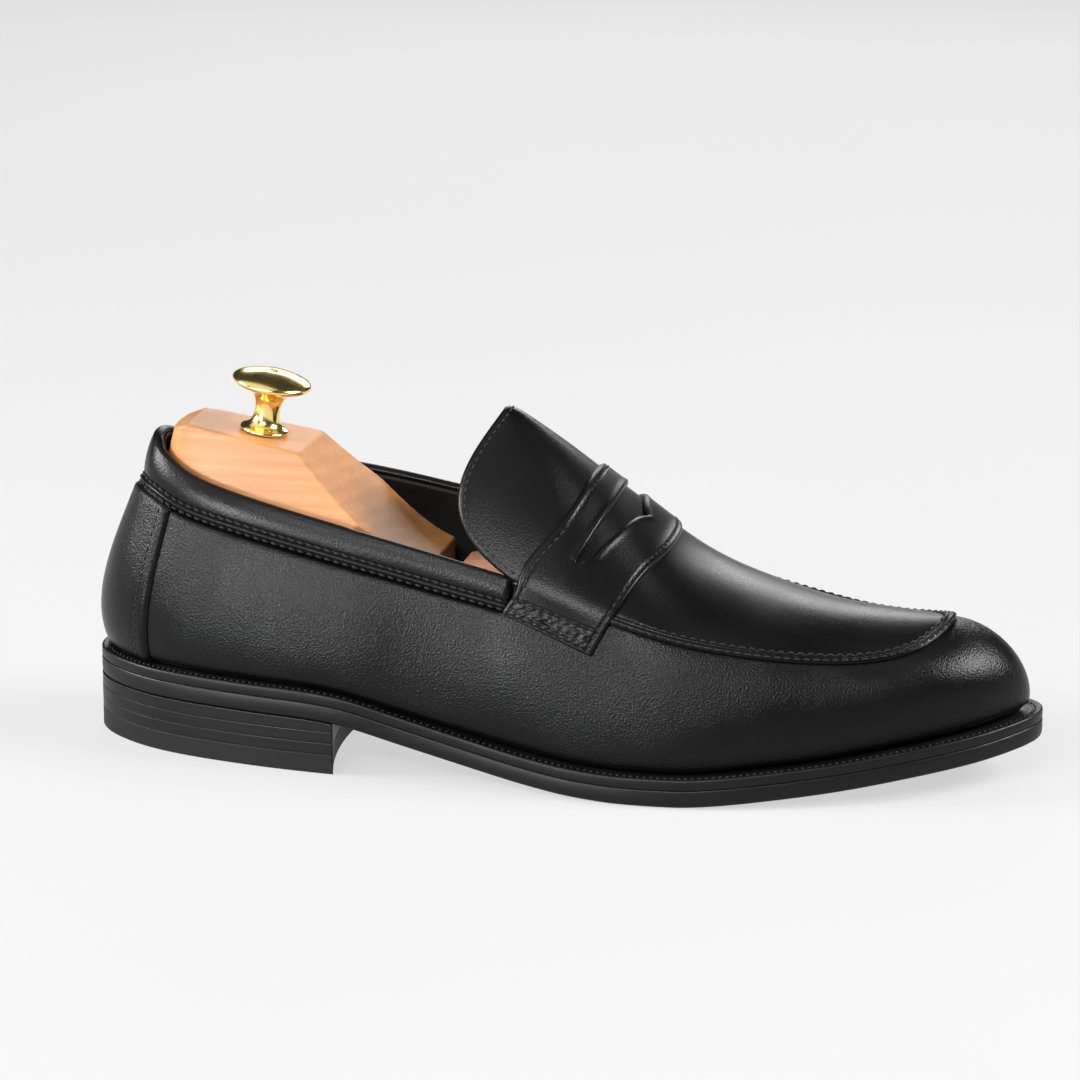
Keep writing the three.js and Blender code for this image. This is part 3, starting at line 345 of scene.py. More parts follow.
def tube(name, rings, material, closed=False):
    """A skin through rings of points, rings[i][j]; each ring is closed. Ends are capped unless closed."""
    n, m = rings.shape[:2]
    faces = []
    for i in range(n if closed else n - 1):
        k = (i + 1) % n
        for j in range(m):
            l = (j + 1) % m
            faces.append((i * m + j, k * m + j, k * m + l, i * m + l))
    if not closed:
        faces.append(tuple(range(m)))
        faces.append(tuple((n - 1) * m + j for j in reversed(range(m))))
    return outward_faces(mesh_object(name, place(rings), faces, material))


# ---------------------------------------------------------------- materials
class Nodes:
    """Short calls for building a material's node tree."""

    def __init__(self, name):
        self.material = bpy.data.materials.new(name)
        self.material.use_nodes = True
        self.tree = self.material.node_tree
        self.shader = self.tree.nodes["Principled BSDF"]
        coord = self.tree.nodes.new("ShaderNodeTexCoord")
        self.where = coord.outputs["Object"]

    def node(self, kind, **settings):
        node = self.tree.nodes.new("ShaderNode" + kind)
        for key, value in settings.items():
            setattr(node, key, value)
        return node

    def link(self, out, to):
        self.tree.links.new(out, to)

    def put(self, socket, value):
        """A number, colour or another node's output, into a socket."""
        if hasattr(value, "links"):
            self.link(value, socket)
        else:
            socket.default_value = value

    def mapping(self, scale, rotation=(0, 0, 0)):
        node = self.node("Mapping")
        self.link(self.where, node.inputs["Vector"])
        node.inputs["Scale"].default_value = scale
        node.inputs["Rotation"].default_value = rotation
        return node.outputs["Vector"]

    def noise(self, vector, scale, detail=3.0, roughness=0.55, distortion=0.0):
        node = self.node("TexNoise")
        self.link(vector, node.inputs["Vector"])
        node.inputs["Scale"].default_value = scale
        node.inputs["Detail"].default_value = detail
        node.inputs["Roughness"].default_value = roughness
        node.inputs["Distortion"].default_value = distortion
        return node.outputs["Fac"]

    def cells(self, vector, scale):
        node = self.node("TexVoronoi", feature="F1")
        self.link(vector, node.inputs["Vector"])
        node.inputs["Scale"].default_value = scale
        return node.outputs["Distance"]

    def ramp(self, fac, *stops):
        node = self.node("ValToRGB")
        self.link(fac, node.inputs["Fac"])
        ramp = node.color_ramp
        while len(ramp.elements) < len(stops):
            ramp.elements.new(0.5)
        for element, (at, value) in zip(ramp.elements, stops):
            element.position = at
            colour = (value, value, value) if isinstance(value, (int, float)) else value
            element.color = (*colour[:3], 1)
        return node.outputs["Color"]

    def math(self, operation, a, b=0.0, c=0.0):
        node = self.node("Math", operation=operation)
        self.put(node.inputs[0], a)
        self.put(node.inputs[1], b)
        self.put(node.inputs[2], c)
        return node.outputs["Value"]

    def bump(self, height, strength, distance):
        node = self.node("Bump")
        self.link(height, node.inputs["Height"])
        node.inputs["Strength"].default_value = strength
        node.inputs["Distance"].default_value = distance
        return node.outputs["Normal"]

    def finish(self, **sockets):
        for key, value in sockets.items():
            self.put(self.shader.inputs[key.replace("_", " ")], value)
        return self.material


def colour(r, g, b):
    return (r, g, b, 1.0)


def leather(name, base, rough, grain=0.5, grain_size=1.0, specular=0.165):
    """Calf leather: pebbled cells, fine pores and slow changes of gloss."""
    n = Nodes(name)
    at = n.mapping((1, 1, 1))
    wobble = n.noise(at, 260, 2)
    cells = n.cells(at, 1150 / grain_size)
    fine = n.cells(at, 2300 / grain_size)
    patches = n.noise(at, 28, 2)
    pebble = n.math("MULTIPLY_ADD", cells, 0.7, n.math("MULTIPLY", fine, 0.35))
    height = n.math("ADD", pebble, n.math("MULTIPLY", wobble, 0.18))
    amount = n.ramp(patches, (0.3, 0.35), (0.7, 1.0))
    height = n.math("MULTIPLY", height, amount)
    normal = n.bump(height, grain, 0.0004)
    gloss = n.math("MULTIPLY_ADD", patches, 0.14, rough - 0.07)
    gloss = n.math("MULTIPLY_ADD", cells, 0.06, gloss)
    tint = n.ramp(patches, (0.3, tuple(c * 0.8 for c in base)), (0.72, tuple(c * 1.25 for c in base)))
    return n.finish(Base_Color=tint, Roughness=gloss, Normal=normal, Specular_IOR_Level=specular)


def thread(name, base):
    n = Nodes(name)
    at = n.mapping((1, 1, 1))
    twist = n.noise(at, 2600, 2)
    tint = n.ramp(twist, (0.3, tuple(c * 0.6 for c in base)), (0.8, base))
    return n.finish(Base_Color=tint, Roughness=0.62,
                    Normal=n.bump(twist, 0.5, 0.0002), Sheen_Weight=0.03, Specular_IOR_Level=0.25)


def sole_leather(name, base, rough, stripes=900.0, brown=(0.05, 0.028, 0.016)):
    """Burnished sole edge: fine horizontal fibre lines, waxed, a little brown where it is rubbed."""
    n = Nodes(name)
    flat = n.mapping((30, 30, stripes))
    lines = n.noise(flat, 1.0, 4, 0.6)
    at = n.mapping((1, 1, 1))
    patches = n.noise(at, 60, 3)
    tint = n.ramp(n.math("MULTIPLY", lines, patches), (0.1, tuple(c * 0.7 for c in base)), (0.4, base),
                  (0.62, brown))
    gloss = n.math("MULTIPLY_ADD", lines, 0.2, rough - 0.1)
    return n.finish(Base_Color=tint, Roughness=gloss, Normal=n.bump(lines, 0.12, 0.0003),
                    Specular_IOR_Level=0.22)


def wood(name, light, dark, rough):
    """Sanded wood with grain running along x, gentle figure and pores."""
    n = Nodes(name)
    slant = 0.12          # the grain's tilt off the x axis, in radians
    stretched = n.mapping((4, 60, 130), rotation=(0.2, slant, 0.05))
    figure = n.noise(stretched, 1.6, 5, 0.6, 0.3)
    fine = n.noise(n.mapping((30, 700, 900), rotation=(0.2, slant, 0.05)), 1.0, 3, 0.6)
    rings = n.node("TexWave", wave_type="BANDS", bands_direction="Z")
    n.link(n.mapping((2, 12, 26), rotation=(0.25, slant, 0.02)), rings.inputs["Vector"])
    rings.inputs["Scale"].default_value = 70.0 / 22
    rings.inputs["Distortion"].default_value = 5.5
    rings.inputs["Detail"].default_value = 3
    rings.inputs["Detail Scale"].default_value = 1.4
    value = n.math("ADD", n.math("MULTIPLY", figure, 0.55), n.math("MULTIPLY", rings.outputs["Fac"], 0.1))
    value = n.math("ADD", value, n.math("MULTIPLY", fine, 0.3))
    middle = tuple((a + b) / 2 for a, b in zip(light, dark))
    tint = n.ramp(value, (0.25, dark), (0.5, middle), (0.72, light))
    pores = n.ramp(fine, (0.3, 0.0), (0.5, 1.0))
    return n.finish(Base_Color=tint, Roughness=n.math("MULTIPLY_ADD", figure, 0.15, rough - 0.07),
                    Normal=n.bump(pores, 0.12, 0.0002), Specular_IOR_Level=0.4)


def metal(name, base, rough, scratch=0.02, scale=180.0):
    n = Nodes(name)
    at = n.mapping((1, 1, 1))
    wear = n.noise(at, scale, 4)
    return n.finish(Base_Color=n.ramp(wear, (0.3, tuple(c * 0.93 for c in base)), (0.7, base)),
                    Metallic=1.0, Roughness=n.math("MULTIPLY_ADD", wear, scratch * 2, rough),
                    Normal=n.bump(wear, 0.02, 0.0003))


def rubber(name, base):
    n = Nodes(name)
    at = n.mapping((1, 1, 1))
    fine = n.noise(at, 1500, 3)
    return n.finish(Base_Color=n.ramp(fine, (0.3, tuple(c * 0.8 for c in base)), (0.7, base)),
                    Roughness=n.math("MULTIPLY_ADD", fine, 0.12, 0.5), Normal=n.bump(fine, 0.12, 0.0003),
                    Specular_IOR_Level=0.22)


def woven(name, base, pitch=0.0009):
    n = Nodes(name)
    waves = []
    for turn in (0.0, math.pi / 2):
        wave = n.node("TexWave", wave_type="BANDS", bands_direction="X")
        n.link(n.mapping((1, 1, 1), rotation=(0.4, 0.3, turn + 0.6)), wave.inputs["Vector"])
        wave.inputs["Scale"].default_value = 0.32 / pitch
        waves.append(wave.outputs["Fac"])
    weave = n.math("MULTIPLY", *waves)
    tint = n.ramp(weave, (0.1, tuple(c * 0.55 for c in base)), (0.8, base))
    return n.finish(Base_Color=tint, Roughness=0.85,
                    Normal=n.bump(weave, 0.5, 0.0004), Sheen_Weight=0.2)


def granules(name, base, scale):
    n = Nodes(name)
    at = n.mapping((1, 1, 1))
    grains = n.cells(at, scale)
    tint = n.ramp(grains, (0.1, tuple(c * 0.5 for c in base)), (0.6, base))
    return n.finish(Base_Color=tint, Roughness=0.9,
                    Normal=n.bump(grains, 0.4, 0.0005))


UPPER = leather("upper_calf", (0.0018, 0.0018, 0.0019), 0.28, grain=0.5, grain_size=0.75)
SMOOTH = leather("apron_calf", (0.0018, 0.0018, 0.0019), 0.27, grain=0.22, grain_size=0.7)
BINDING = leather("collar_calf", (0.0018, 0.0018, 0.0019), 0.28, grain=0.2, grain_size=0.8)
LINING_LEATHER = leather("lining_calf", (0.005, 0.0048, 0.0046), 0.55, grain=0.2, grain_size=0.8,
                         specular=0.2)
THREAD = thread("black_thread", (0.005, 0.005, 0.0052))
SOLE_EDGE = sole_leather("sole_edge", (0.003, 0.0028, 0.0028), 0.42, brown=(0.01, 0.006, 0.004))
HEEL_EDGE = sole_leather("heel_edge", (0.003, 0.0029, 0.003), 0.4, 1400, brown=(0.008, 0.005, 0.004))
HEEL_RUBBER = rubber("heel_rubber", (0.003, 0.003, 0.003))
BLOCK_WOOD = wood("block_wood", (0.45, 0.21, 0.075), (0.27, 0.11, 0.034), rough=0.46)
FORE_WOOD = wood("forepart_wood", (0.6, 0.31, 0.19), (0.4, 0.17, 0.09), rough=0.55)
BRASS = metal("knob_brass", (1.0, 0.75, 0.27), 0.17)
STEEL = metal("steel", (0.62, 0.62, 0.63), 0.28, 0.05)
WIRE = metal("spring_wire", (0.5, 0.5, 0.52), 0.3, 0.06)
DRILL = woven("drill_lining", (0.22, 0.2, 0.18))
TAPE = woven("tape", (0.06, 0.06, 0.06), 0.0006)
BOARD = granules("fibreboard", (0.42, 0.32, 0.22), 900)
CORK = granules("cork", (0.34, 0.21, 0.11), 380)
INSOLE_LEATHER = leather("insole_leather", (0.42, 0.27, 0.15), 0.7, grain=0.3)


# ---------------------------------------------------------------- stage, light and camera
def stage():
    floor_material = Nodes("floor_white")
    fine = floor_material.noise(floor_material.mapping((1, 1, 1)), 3, 2)
    floor_material.finish(Base_Color=floor_material.ramp(fine, (0.3, 0.12), (0.7, 0.125)), Roughness=0.9,
                          Specular_IOR_Level=0.1, Emission_Color=colour(1, 1, 1), Emission_Strength=0.6)
    size = 6.0
    mesh = bpy.data.meshes.new("floor")
    ground = CAD_BOX[0][2] - 0.0002
    corners = [(-size, -size, ground), (size, -size, ground), (size, size, ground), (-size, size, ground)]
    mesh.from_pydata(corners, [], [(0, 1, 2, 3)])
    floor = bpy.data.objects.new("floor", mesh)
    bpy.context.scene.collection.objects.link(floor)
    mesh.materials.append(floor_material.material)


def softbox(name, at, to, size, power):
    lamp = bpy.data.lights.new(name, "AREA")
    lamp.shape = "RECTANGLE"
    lamp.size, lamp.size_y = size
    lamp.energy = power
    obj = bpy.data.objects.new(name, lamp)
    bpy.context.scene.collection.objects.link(obj)
    obj.location = at
    obj.rotation_euler = (Vector(to) - Vector(at)).to_track_quat("-Z", "Y").to_euler()


def lights():
    middle = tuple(place((150, 0, 45)))
    softbox("front_high", (-0.1, -1.35, 0.95), middle, (0.75, 0.24), 20)
    softbox("front_left_low", (-0.85, -1.2, 0.3), middle, (0.42, 0.26), 19)
    softbox("left_side", (-1.35, -0.3, 0.62), middle, (0.45, 0.5), 32)
    softbox("right_back", (1.15, 0.1, 0.85), middle, (0.6, 0.6), 36)
    softbox("back_low", (-0.15, 1.4, 0.55), middle, (0.9, 0.35), 6)
    sun = bpy.data.lights.new("overhead", "SUN")
    sun.energy, sun.angle = 0.9, math.radians(70)
    overhead = bpy.data.objects.new("overhead", sun)
    bpy.context.scene.collection.objects.link(overhead)
    overhead.rotation_euler = (math.radians(8), math.radians(-16), 0)
    world = bpy.data.worlds.new("studio")
    bpy.context.scene.world = world
    world.use_nodes = True
    background = world.node_tree.nodes["Background"]
    background.inputs["Color"].default_value = (1, 1, 1, 1)
    background.inputs["Strength"].default_value = 0.03


def camera():
    azimuth, elevation = math.radians(12.0), math.radians(16.8)
    distance, lens = 1.5, 160.0
    right = Vector((math.cos(azimuth), math.sin(azimuth), 0))
    back = Vector((math.sin(azimuth) * math.cos(elevation), -math.cos(azimuth) * math.cos(elevation),
                   math.sin(elevation)))
    up = back.cross(right)
    target = Vector(place((150, 0, 45)))
    data = bpy.data.cameras.new("camera")
    data.lens, data.sensor_width = lens, 36.0
    data.clip_start, data.clip_end = 0.05, 50
    obj = bpy.data.objects.new("camera", data)
    bpy.context.scene.collection.objects.link(obj)
    # the shoe sits a little right of and below the middle of the picture
    look = target - right * 0.0073 + up * 0.0220
    obj.location = target + back * distance
    obj.rotation_euler = (look - obj.location).to_track_quat("-Z", "Y").to_euler()
    bpy.context.scene.camera = obj


stage()
lights()
camera()
bpy.context.scene.view_settings.view_transform = "Standard"


# ---------------------------------------------------------------- shared measures of the upper
STRAP_S = float(to_share(141))
BAND_WIDTH = Through([(0, 17.6), (STRAP_S * 0.3, 12.4), (STRAP_S * 0.6, 10.4), (STRAP_S, 9.4)])


def fold(s):
    s = np.asarray(s, float)
    return np.where(s <= 1, np.abs(s), 2 - s)


def share(s, d):
    """A distance up the wall as a share of its height."""
    return np.asarray(d) / wall_height(s)


def band_t(s):
    return 1 - share(s, BAND_WIDTH(np.minimum(fold(s), STRAP_S)))


def done(obj, body="shoe", replaces=()):
    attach(obj, body)
    if replaces:
        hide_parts(*replaces)
    return obj


def sweep_wall(name, stations, profile, material):
    """A closed section, given at each station as (t, offset) points, carried along the wall."""
    rings = []
    for s in stations:
        t, d = profile(float(s))
        rings.append(on_wall(np.full(len(t), s), np.asarray(t, float), np.asarray(d, float)))
    return tube(name, np.array(rings), material)


# ---------------------------------------------------------------- vamp and quarters
def quarter_section(s):
    """Outer face from the band's seam down to the feather, then the inner face back up."""
    top = float(band_t(s) - share(s, 0.2)) if fold(s) < STRAP_S else float(1 - share(s, 0.5))
    t_out = np.concatenate([np.linspace(top, 0.12, 34), np.linspace(0.105, 0.0, 9)])
    height = float(wall_height(s))
    up = t_out * height
    # rounded top edge, slight swell of the leather above the welt, tuck at the feather
    d = -0.9 * np.exp(-((top - t_out) * height / 0.7) ** 2)
    d = d - 1.0 * np.exp(-(up / 1.3) ** 2)
    heel = float(smooth(fold(s), 0.14, 0.02))
    toe = float(smooth(fold(s), 0.72, 0.95))
    # the counter's edge and toe puff's edge show faintly through the leather
    d = d + 0.12 * heel * bump(up, 30, 9) + 0.1 * toe * bump(up, 12, 6)
    t_in = t_out[::-1]
    d_in = np.full(len(t_in), -LEATHER - 0.1)
    return np.concatenate([t_out, t_in]), np.concatenate([d, d_in])


def vamp_and_quarters():
    half = np.concatenate([np.linspace(0.0015, 0.12, 26), np.linspace(0.125, STRAP_S - 0.002, 60),
                           np.linspace(STRAP_S + 0.002, 0.998, 120)])
    ring = np.concatenate([half, 2 - half[::-1]])
    obj = sweep_wall("quarters_and_vamp", ring, quarter_section, UPPER)
    done(obj, replaces=("vamp_and_quarters",))


# ---------------------------------------------------------------- collar
def collar_section(s):
    """The rolled collar: over the outer face, round the top edge and a little way down inside."""
    height = float(wall_height(s))
    low = float(band_t(s))
    width = (1 - low) * height
    plump = 0.55 + 0.35 * float(smooth(fold(s), 0.3, 0.0))
    k = np.linspace(0, 1, 30)
    up = k * width
    d = plump * np.sin(math.pi * np.clip((up - 3.2) / max(width - 3.2, 1), 0, 1)) ** 0.8
    d = d + 0.85 * bump(up, 1.75, 0.7)             # raised fold between the two stitch rows
    d = d - 0.3 * bump(up, 0.5, 0.35) - 0.3 * bump(up, 3.0, 0.55)
    d = d - 0.75 * np.exp(-(up / 0.35) ** 2)
    t_out = low + k * (1 - low)
    # rolled top edge
    around = np.linspace(0, math.pi, 12)[1:-1]
    radius = 1.75
    t_top = 1 + np.sin(around) * radius * 0.8 / height
    d_top = -radius + np.cos(around) * radius
    inner = np.linspace(0, 1, 8)
    t_in = 1 - inner * (6.5 / height)
    d_in = np.full(8, -2 * radius)
    back = np.linspace(0, 1, 10)[1:]
    t_back = t_in[-1] + (low - t_in[-1]) * back
    d_back = np.full(9, -LEATHER - 0.35)
    d_back[:1] = -2.4
    return (np.concatenate([t_out, t_top, t_in, t_back]), np.concatenate([d, d_top, d_in, d_back]))


def collar():
    ring = np.linspace(-STRAP_S + 0.001, STRAP_S - 0.001, 210)
    obj = sweep_wall("collar_roll", ring, collar_section, BINDING)
    done(obj, replaces=("collar_band",))


# ---------------------------------------------------------------- stitching
STITCH_PITCH = 3.0


def stitch_shape():
    """One stitch: a short rounded stroke, sunk at its ends."""
    rings, m = [], 6
    for k in np.linspace(-1, 1, 7):
        radius = 0.4 * math.sqrt(max(1 - abs(k) ** 2.6, 0.02))
        lift = 0.2 * (1 - k * k) - 0.12
        angles = [2 * math.pi * j / m for j in range(m)]
        rings.append([(k * 1.12, radius * math.cos(a), lift + radius * math.sin(a)) for a in angles])
    return np.array(rings)


STITCH = stitch_shape()


def resample(points, pitch):
    """Evenly spaced positions along a polyline, with the direction there."""
    leg = np.linalg.norm(np.diff(points, axis=0), axis=1)
    total = leg.sum()
    count = max(int(round(total / pitch)), 1)
    at = (np.arange(count) + 0.5) * total / count
    along = np.concatenate([[0], np.cumsum(leg)])
    here = np.stack([np.interp(at, along, points[:, k]) for k in range(3)], -1)
    ahead = np.stack([np.interp(np.minimum(at + 0.4, total), along, points[:, k]) for k in range(3)], -1)
    behind = np.stack([np.interp(np.maximum(at - 0.4, 0), along, points[:, k]) for k in range(3)], -1)
    return here, unit(ahead - behind), at / total


def stitches(name, rows, size=1.0, pitch=STITCH_PITCH):
    """Rows of stitches as one mesh; each row is (points, normals) along the seam."""
    verts, faces = [], []
    n, m = STITCH.shape[:2]
    for points, normals in rows:
        here, along, share_at = resample(points, pitch)
        leg = np.linalg.norm(np.diff(points, axis=0), axis=1)
        source = np.concatenate([[0], np.cumsum(leg)]) / leg.sum()
        up = unit(np.stack([np.interp(share_at, source, normals[:, k]) for k in range(3)], -1))
        side = unit(np.cross(up, along))
        up = np.cross(along, side)
        stretch = size * pitch / STITCH_PITCH
        for p, a, b, c in zip(here, along, side, up):
            base = len(verts)
            shape = STITCH.reshape(-1, 3) * np.array([stretch, size, size])
            verts.extend((p + shape[:, :1] * a + shape[:, 1:2] * b + shape[:, 2:] * c).tolist())
            for i in range(n - 1):
                for j in range(m):
                    l = (j + 1) % m
                    near, far = base + i * m, base + (i + 1) * m
                    faces.append((near + j, near + l, far + l, far + j))
            faces.append(tuple(base + j for j in reversed(range(m))))
            faces.append(tuple(base + (n - 1) * m + j for j in range(m)))
    done(mesh_object(name, place(np.array(verts)), faces, THREAD))


def wall_row(s0, s1, t_of, offset, count=240):
    """Points and normals of a line on the wall at height t_of(s)."""
    s = np.linspace(s0, s1, count)
    t = np.array([float(t_of(v)) for v in s])
    return on_wall(s, t, np.full(count, offset)), wall_normal(s, t)


def collar_stitching():
    edge = STRAP_S - 0.004
    rows = [wall_row(-edge, edge, lambda s: band_t(s) + share(s, 0.5), 0.05, 500),
            wall_row(-edge, edge, lambda s: band_t(s) + share(s, 2.95), 0.02, 500)]
    stitches("collar_stitching", rows)


# ---------------------------------------------------------------- apron, tongue and their seam
def apron_steps_u(count):
    k = np.linspace(-1, 1, count)
    return np.sign(k) * (1 - (1 - np.abs(k)) ** 1.25)


def shell(name, outer, inner, material):
    """A closed sheet between two grids of points of the same size."""
    n, m = outer.shape[:2]
    points = np.concatenate([outer.reshape(-1, 3), inner.reshape(-1, 3)])
    faces, other = [], n * m
    for i in range(n - 1):
        for j in range(m - 1):
            a, b, c, d = i * m + j, (i + 1) * m + j, (i + 1) * m + j + 1, i * m + j + 1
            faces += [(a, b, c, d), (other + a, other + d, other + c, other + b)]
    rim = ([(0, j) for j in range(m - 1)] + [(i, m - 1) for i in range(n - 1)]
           + [(n - 1, j) for j in range(m - 1, 0, -1)] + [(i, 0) for i in range(n - 1, 0, -1)])
    ids = [i * m + j for i, j in rim]
    for k in range(len(ids)):
        a, b = ids[k], ids[(k + 1) % len(ids)]
        faces.append((a, other + a, other + b, b))
    return outward_faces(mesh_object(name, place(points), faces, material))


def apron_relief(u, v):
    """How far the apron's leather falls off at its rounded rim and rear edge."""
    rim = -1.0 * np.exp(-((1 - np.abs(u)) / 0.012) ** 2) - 0.9 * np.exp(-((1 - v) / 0.006) ** 2)
    rear = -0.8 * np.exp(-(v / 0.004) ** 2)
    return rim + rear


def apron_and_tongue():
    u = apron_steps_u(90)
    v = np.concatenate([np.linspace(0, 0.02, 8), np.linspace(0.03, 0.97, 110), np.linspace(0.975, 1, 10)])
    V, U = np.meshgrid(v, u * 0.99, indexing="ij")
    outer = on_apron(U, V, apron_relief(U, V))
    inner = on_apron(U, V, np.full_like(U, -LEATHER - 0.2))
    obj = shell("apron_with_tongue", outer, inner, SMOOTH)
    done(obj, replaces=("apron_and_tongue",))
    U2 = U * 0.955
    V2 = 0.008 + V * 0.40
    obj = shell("tongue_backing", on_apron(U2, V2, np.full_like(U, -LEATHER - 0.3)),
                on_apron(U2, V2, np.full_like(U, -LEATHER - 1.2)), LINING_LEATHER)
    done(obj, replaces=("tongue_lining",))


def apron_point_row(us, vs, lift):
    return on_apron(us, vs, np.full(len(us), lift)), apron_normal(us, vs)


def tongue_stitching():
    """A row close to the tongue's rear edge, from the strap on one side to the strap on the other."""
    u = np.linspace(-0.965, 0.965, 400)
    inset = 2.3
    # the edge runs askew to v, so the row's v is chosen to keep it the same distance in
    v0 = np.zeros_like(u)
    edge = apron(u, v0)
    along = unit(np.gradient(edge, axis=0))
    step = apron(u, v0 + 0.02) - edge
    clear = step - np.sum(step * along, -1, keepdims=True) * along
    v = 0.02 * inset / np.maximum(np.linalg.norm(clear, axis=-1), 0.3)
    v = np.minimum(v, 0.06)
    stitches("tongue_stitching", [apron_point_row(u, v, -0.05)], size=0.9, pitch=2.7)


def seam_line():
    """The apron seam, from the outer side's tongue corner round the toe to the inner side."""
    outer = SEAM_BACK + (1 - SEAM_BACK) * np.linspace(0, 1, 210)
    return np.concatenate([outer, 2 - outer[::-1][1:]])


def seam_normals(s):
    """Half way between the wall's normal and the apron's at the seam."""
    n = wall_normal(s, np.full_like(s, 0.985))
    return unit(n + np.array([0, 0, 0.9]))


def apron_seam():
    """The raised double ridge of the moccasin seam."""
    s = seam_line()
    top = wall(s, np.ones_like(s))
    n = wall_normal(s, np.full_like(s, 0.985))
    along = unit(np.gradient(top, axis=0))
    up = seam_normals(s)
    across = unit(np.cross(along, up))
    flip = np.sum(across * n, -1) < 0
    across = np.where(flip[:, None], -across, across)
    toe = smooth(fold(s), 0.62, 0.9)
    width = 1.7 + 0.35 * toe
    lift = 1.05 + 0.35 * toe
    rings = []
    for i in range(len(s)):
        profile = []
        w, h = float(width[i]), float(lift[i])
        for k in np.linspace(-1, 1, 21):
            ridge = h * (1 - abs(k) ** 3.2) - 0.42 * h * math.exp(-((k + 0.05) / 0.22) ** 2)
            profile.append((k * w, ridge - 0.25))
        profile += [(w * 0.8, -1.1), (-w * 0.8, -1.1)]
        rings.append([top[i] + across[i] * a + up[i] * b for a, b in profile])
    obj = tube("apron_seam_ridge", np.array(rings), SMOOTH)
    done(obj)
    rows = []
    for a, b in ((1.35, 0.62), (-1.35, 0.62)):
        k = width / 1.7
        pts = top + across * (a * k)[:, None] + up * (b * lift / 1.05 - 0.02)[:, None]
        tilt = unit(up + across * (0.5 * np.sign(a)))
        rows.append((pts, tilt))
    stitches("apron_seam_stitching", rows, size=0.95)


# ---------------------------------------------------------------- back strip
STRIP_S = float(to_share(21))
STRIP_HALF, STRIP_STITCH_IN = 24.0, 2.6       # half width of the strip, and how far in its stitches run


def back_strip():
    rings = []
    heights = np.linspace(0, 1, 60)
    across = np.linspace(-1, 1, 61)
    for k in heights:
        s = across * STRIP_S
        low, high = share(s, 1.0), band_t(s) - share(s, 0.1)
        t = low + (high - low) * k
        edge = (1 - np.abs(across)) * STRIP_HALF
        d = 0.25 + 1.15 * (1 - np.exp(-(edge / 0.7) ** 2))
        d = d + 0.28 * np.exp(-((edge - 1.1) / 0.8) ** 2)
        d = d - 0.2 * np.exp(-((edge - STRIP_STITCH_IN) / 0.45) ** 2)
        d = d - 0.8 * math.exp(-((1 - k) / 0.012) ** 2) - 0.3 * math.exp(-(k / 0.02) ** 2)
        front = on_wall(s, t, d)
        back = on_wall(s[::-1], t[::-1], np.full(61, 0.12))
        rings.append(np.concatenate([front, back]))
    obj = tube("back_seam_strip", np.array(rings), UPPER)
    done(obj, replaces=("back_strip",))
    rows = []
    for sign in (-1, 1):
        k = np.linspace(0.03, 0.975, 160)
        s = np.full(160, sign * STRIP_S * (1 - STRIP_STITCH_IN / STRIP_HALF))
        low, high = share(s, 1.0), band_t(s)
        t = low + (high - low) * k
        rows.append((on_wall(s, t, np.full(160, 1.2)), wall_normal(s, t)))
    stitches("back_strip_stitching", rows, size=0.85, pitch=2.6)


# ---------------------------------------------------------------- saddle strap
REAR_FOOT, REAR_SEAM = float(to_share(138.4)), float(to_share(143.6))
FRONT_FOOT, FRONT_SEAM = float(to_share(167)), float(to_share(172.5))
REAR_FOOT_T, FRONT_FOOT_T = 0.8, 0.72
STRAP_SEAM_W = 0.66       # share of the strap's half length that lies over the apron
STRAP, STRAP_WIDTH, STRAP_LENGTH = 1.3, 32.0, 69.7        # thickness, width and half length
EDGE_ROW, TAB_ROW, END_ROW = 2.2, 0.805, 1.7      # stitch rows: in from the edge, across the tab, at its end


def strap_base(q, w):
    q, w = np.broadcast_arrays(np.asarray(q, float), np.asarray(w, float))
    seam_s = REAR_SEAM + (FRONT_SEAM - REAR_SEAM) * q
    k = np.clip((np.abs(w) - STRAP_SEAM_W) / (1 - STRAP_SEAM_W), 0, 1)
    foot_s = REAR_FOOT + (FRONT_FOOT - REAR_FOOT) * q
    foot_t = REAR_FOOT_T + (FRONT_FOOT_T - REAR_FOOT_T) * q
    s = seam_s + (foot_s - seam_s) * k
    t = 1 + (foot_t - 1) * k
    on_side = wall(np.where(w < 0, s, 2 - s), t)
    u = np.clip(w / STRAP_SEAM_W, -1, 1)
    v_edge = (seam_s - SEAM_BACK) / (SEAM_TOE - SEAM_BACK)
    v_mid = 0.2 + 0.183 * q
    on_top = apron(u, v_mid + (v_edge - v_mid) * np.abs(u) ** 2.2)
    return np.where((np.abs(w) > STRAP_SEAM_W)[..., None], on_side, on_top)


def strap_grid(q, w):
    """The strap's underside path, smoothed where it goes over the apron seam, with its normals."""
    fine = np.linspace(-1, 1, 241)
    grid = strap_base(q[None, :], fine[:, None])
    for _ in range(90):
        grid[1:-1] = (grid[:-2] + 2 * grid[1:-1] + grid[2:]) / 4
    out = np.empty((len(w), len(q), 3))
    for j in range(len(q)):
        for k in range(3):
            out[:, j, k] = np.interp(w, fine, grid[:, j, k])
    du = np.gradient(out, axis=0)
    dv = np.gradient(out, axis=1)
    n = unit(np.cross(du, dv))
    away = np.stack([0 * out[..., 0], (out[..., 1] - SPINE_Y) * 0.5, 0 * out[..., 0] + 30], -1)
    flip = np.sum(n * away, -1) < 0
    return out, np.where(flip[..., None], -n, n)


def slit_front(w):
    """Front edge of the penny slit, as q; it has a point at the middle and closes at its ends."""
    return Through([(0, 0.635), (0.09, 0.575), (0.2, 0.537), (0.33, 0.512), (0.45, 0.468), (0.5, 0.45),
                    (0.515, 0.39), (0.56, 0.336), (1.1, 0.336)])(np.abs(w))


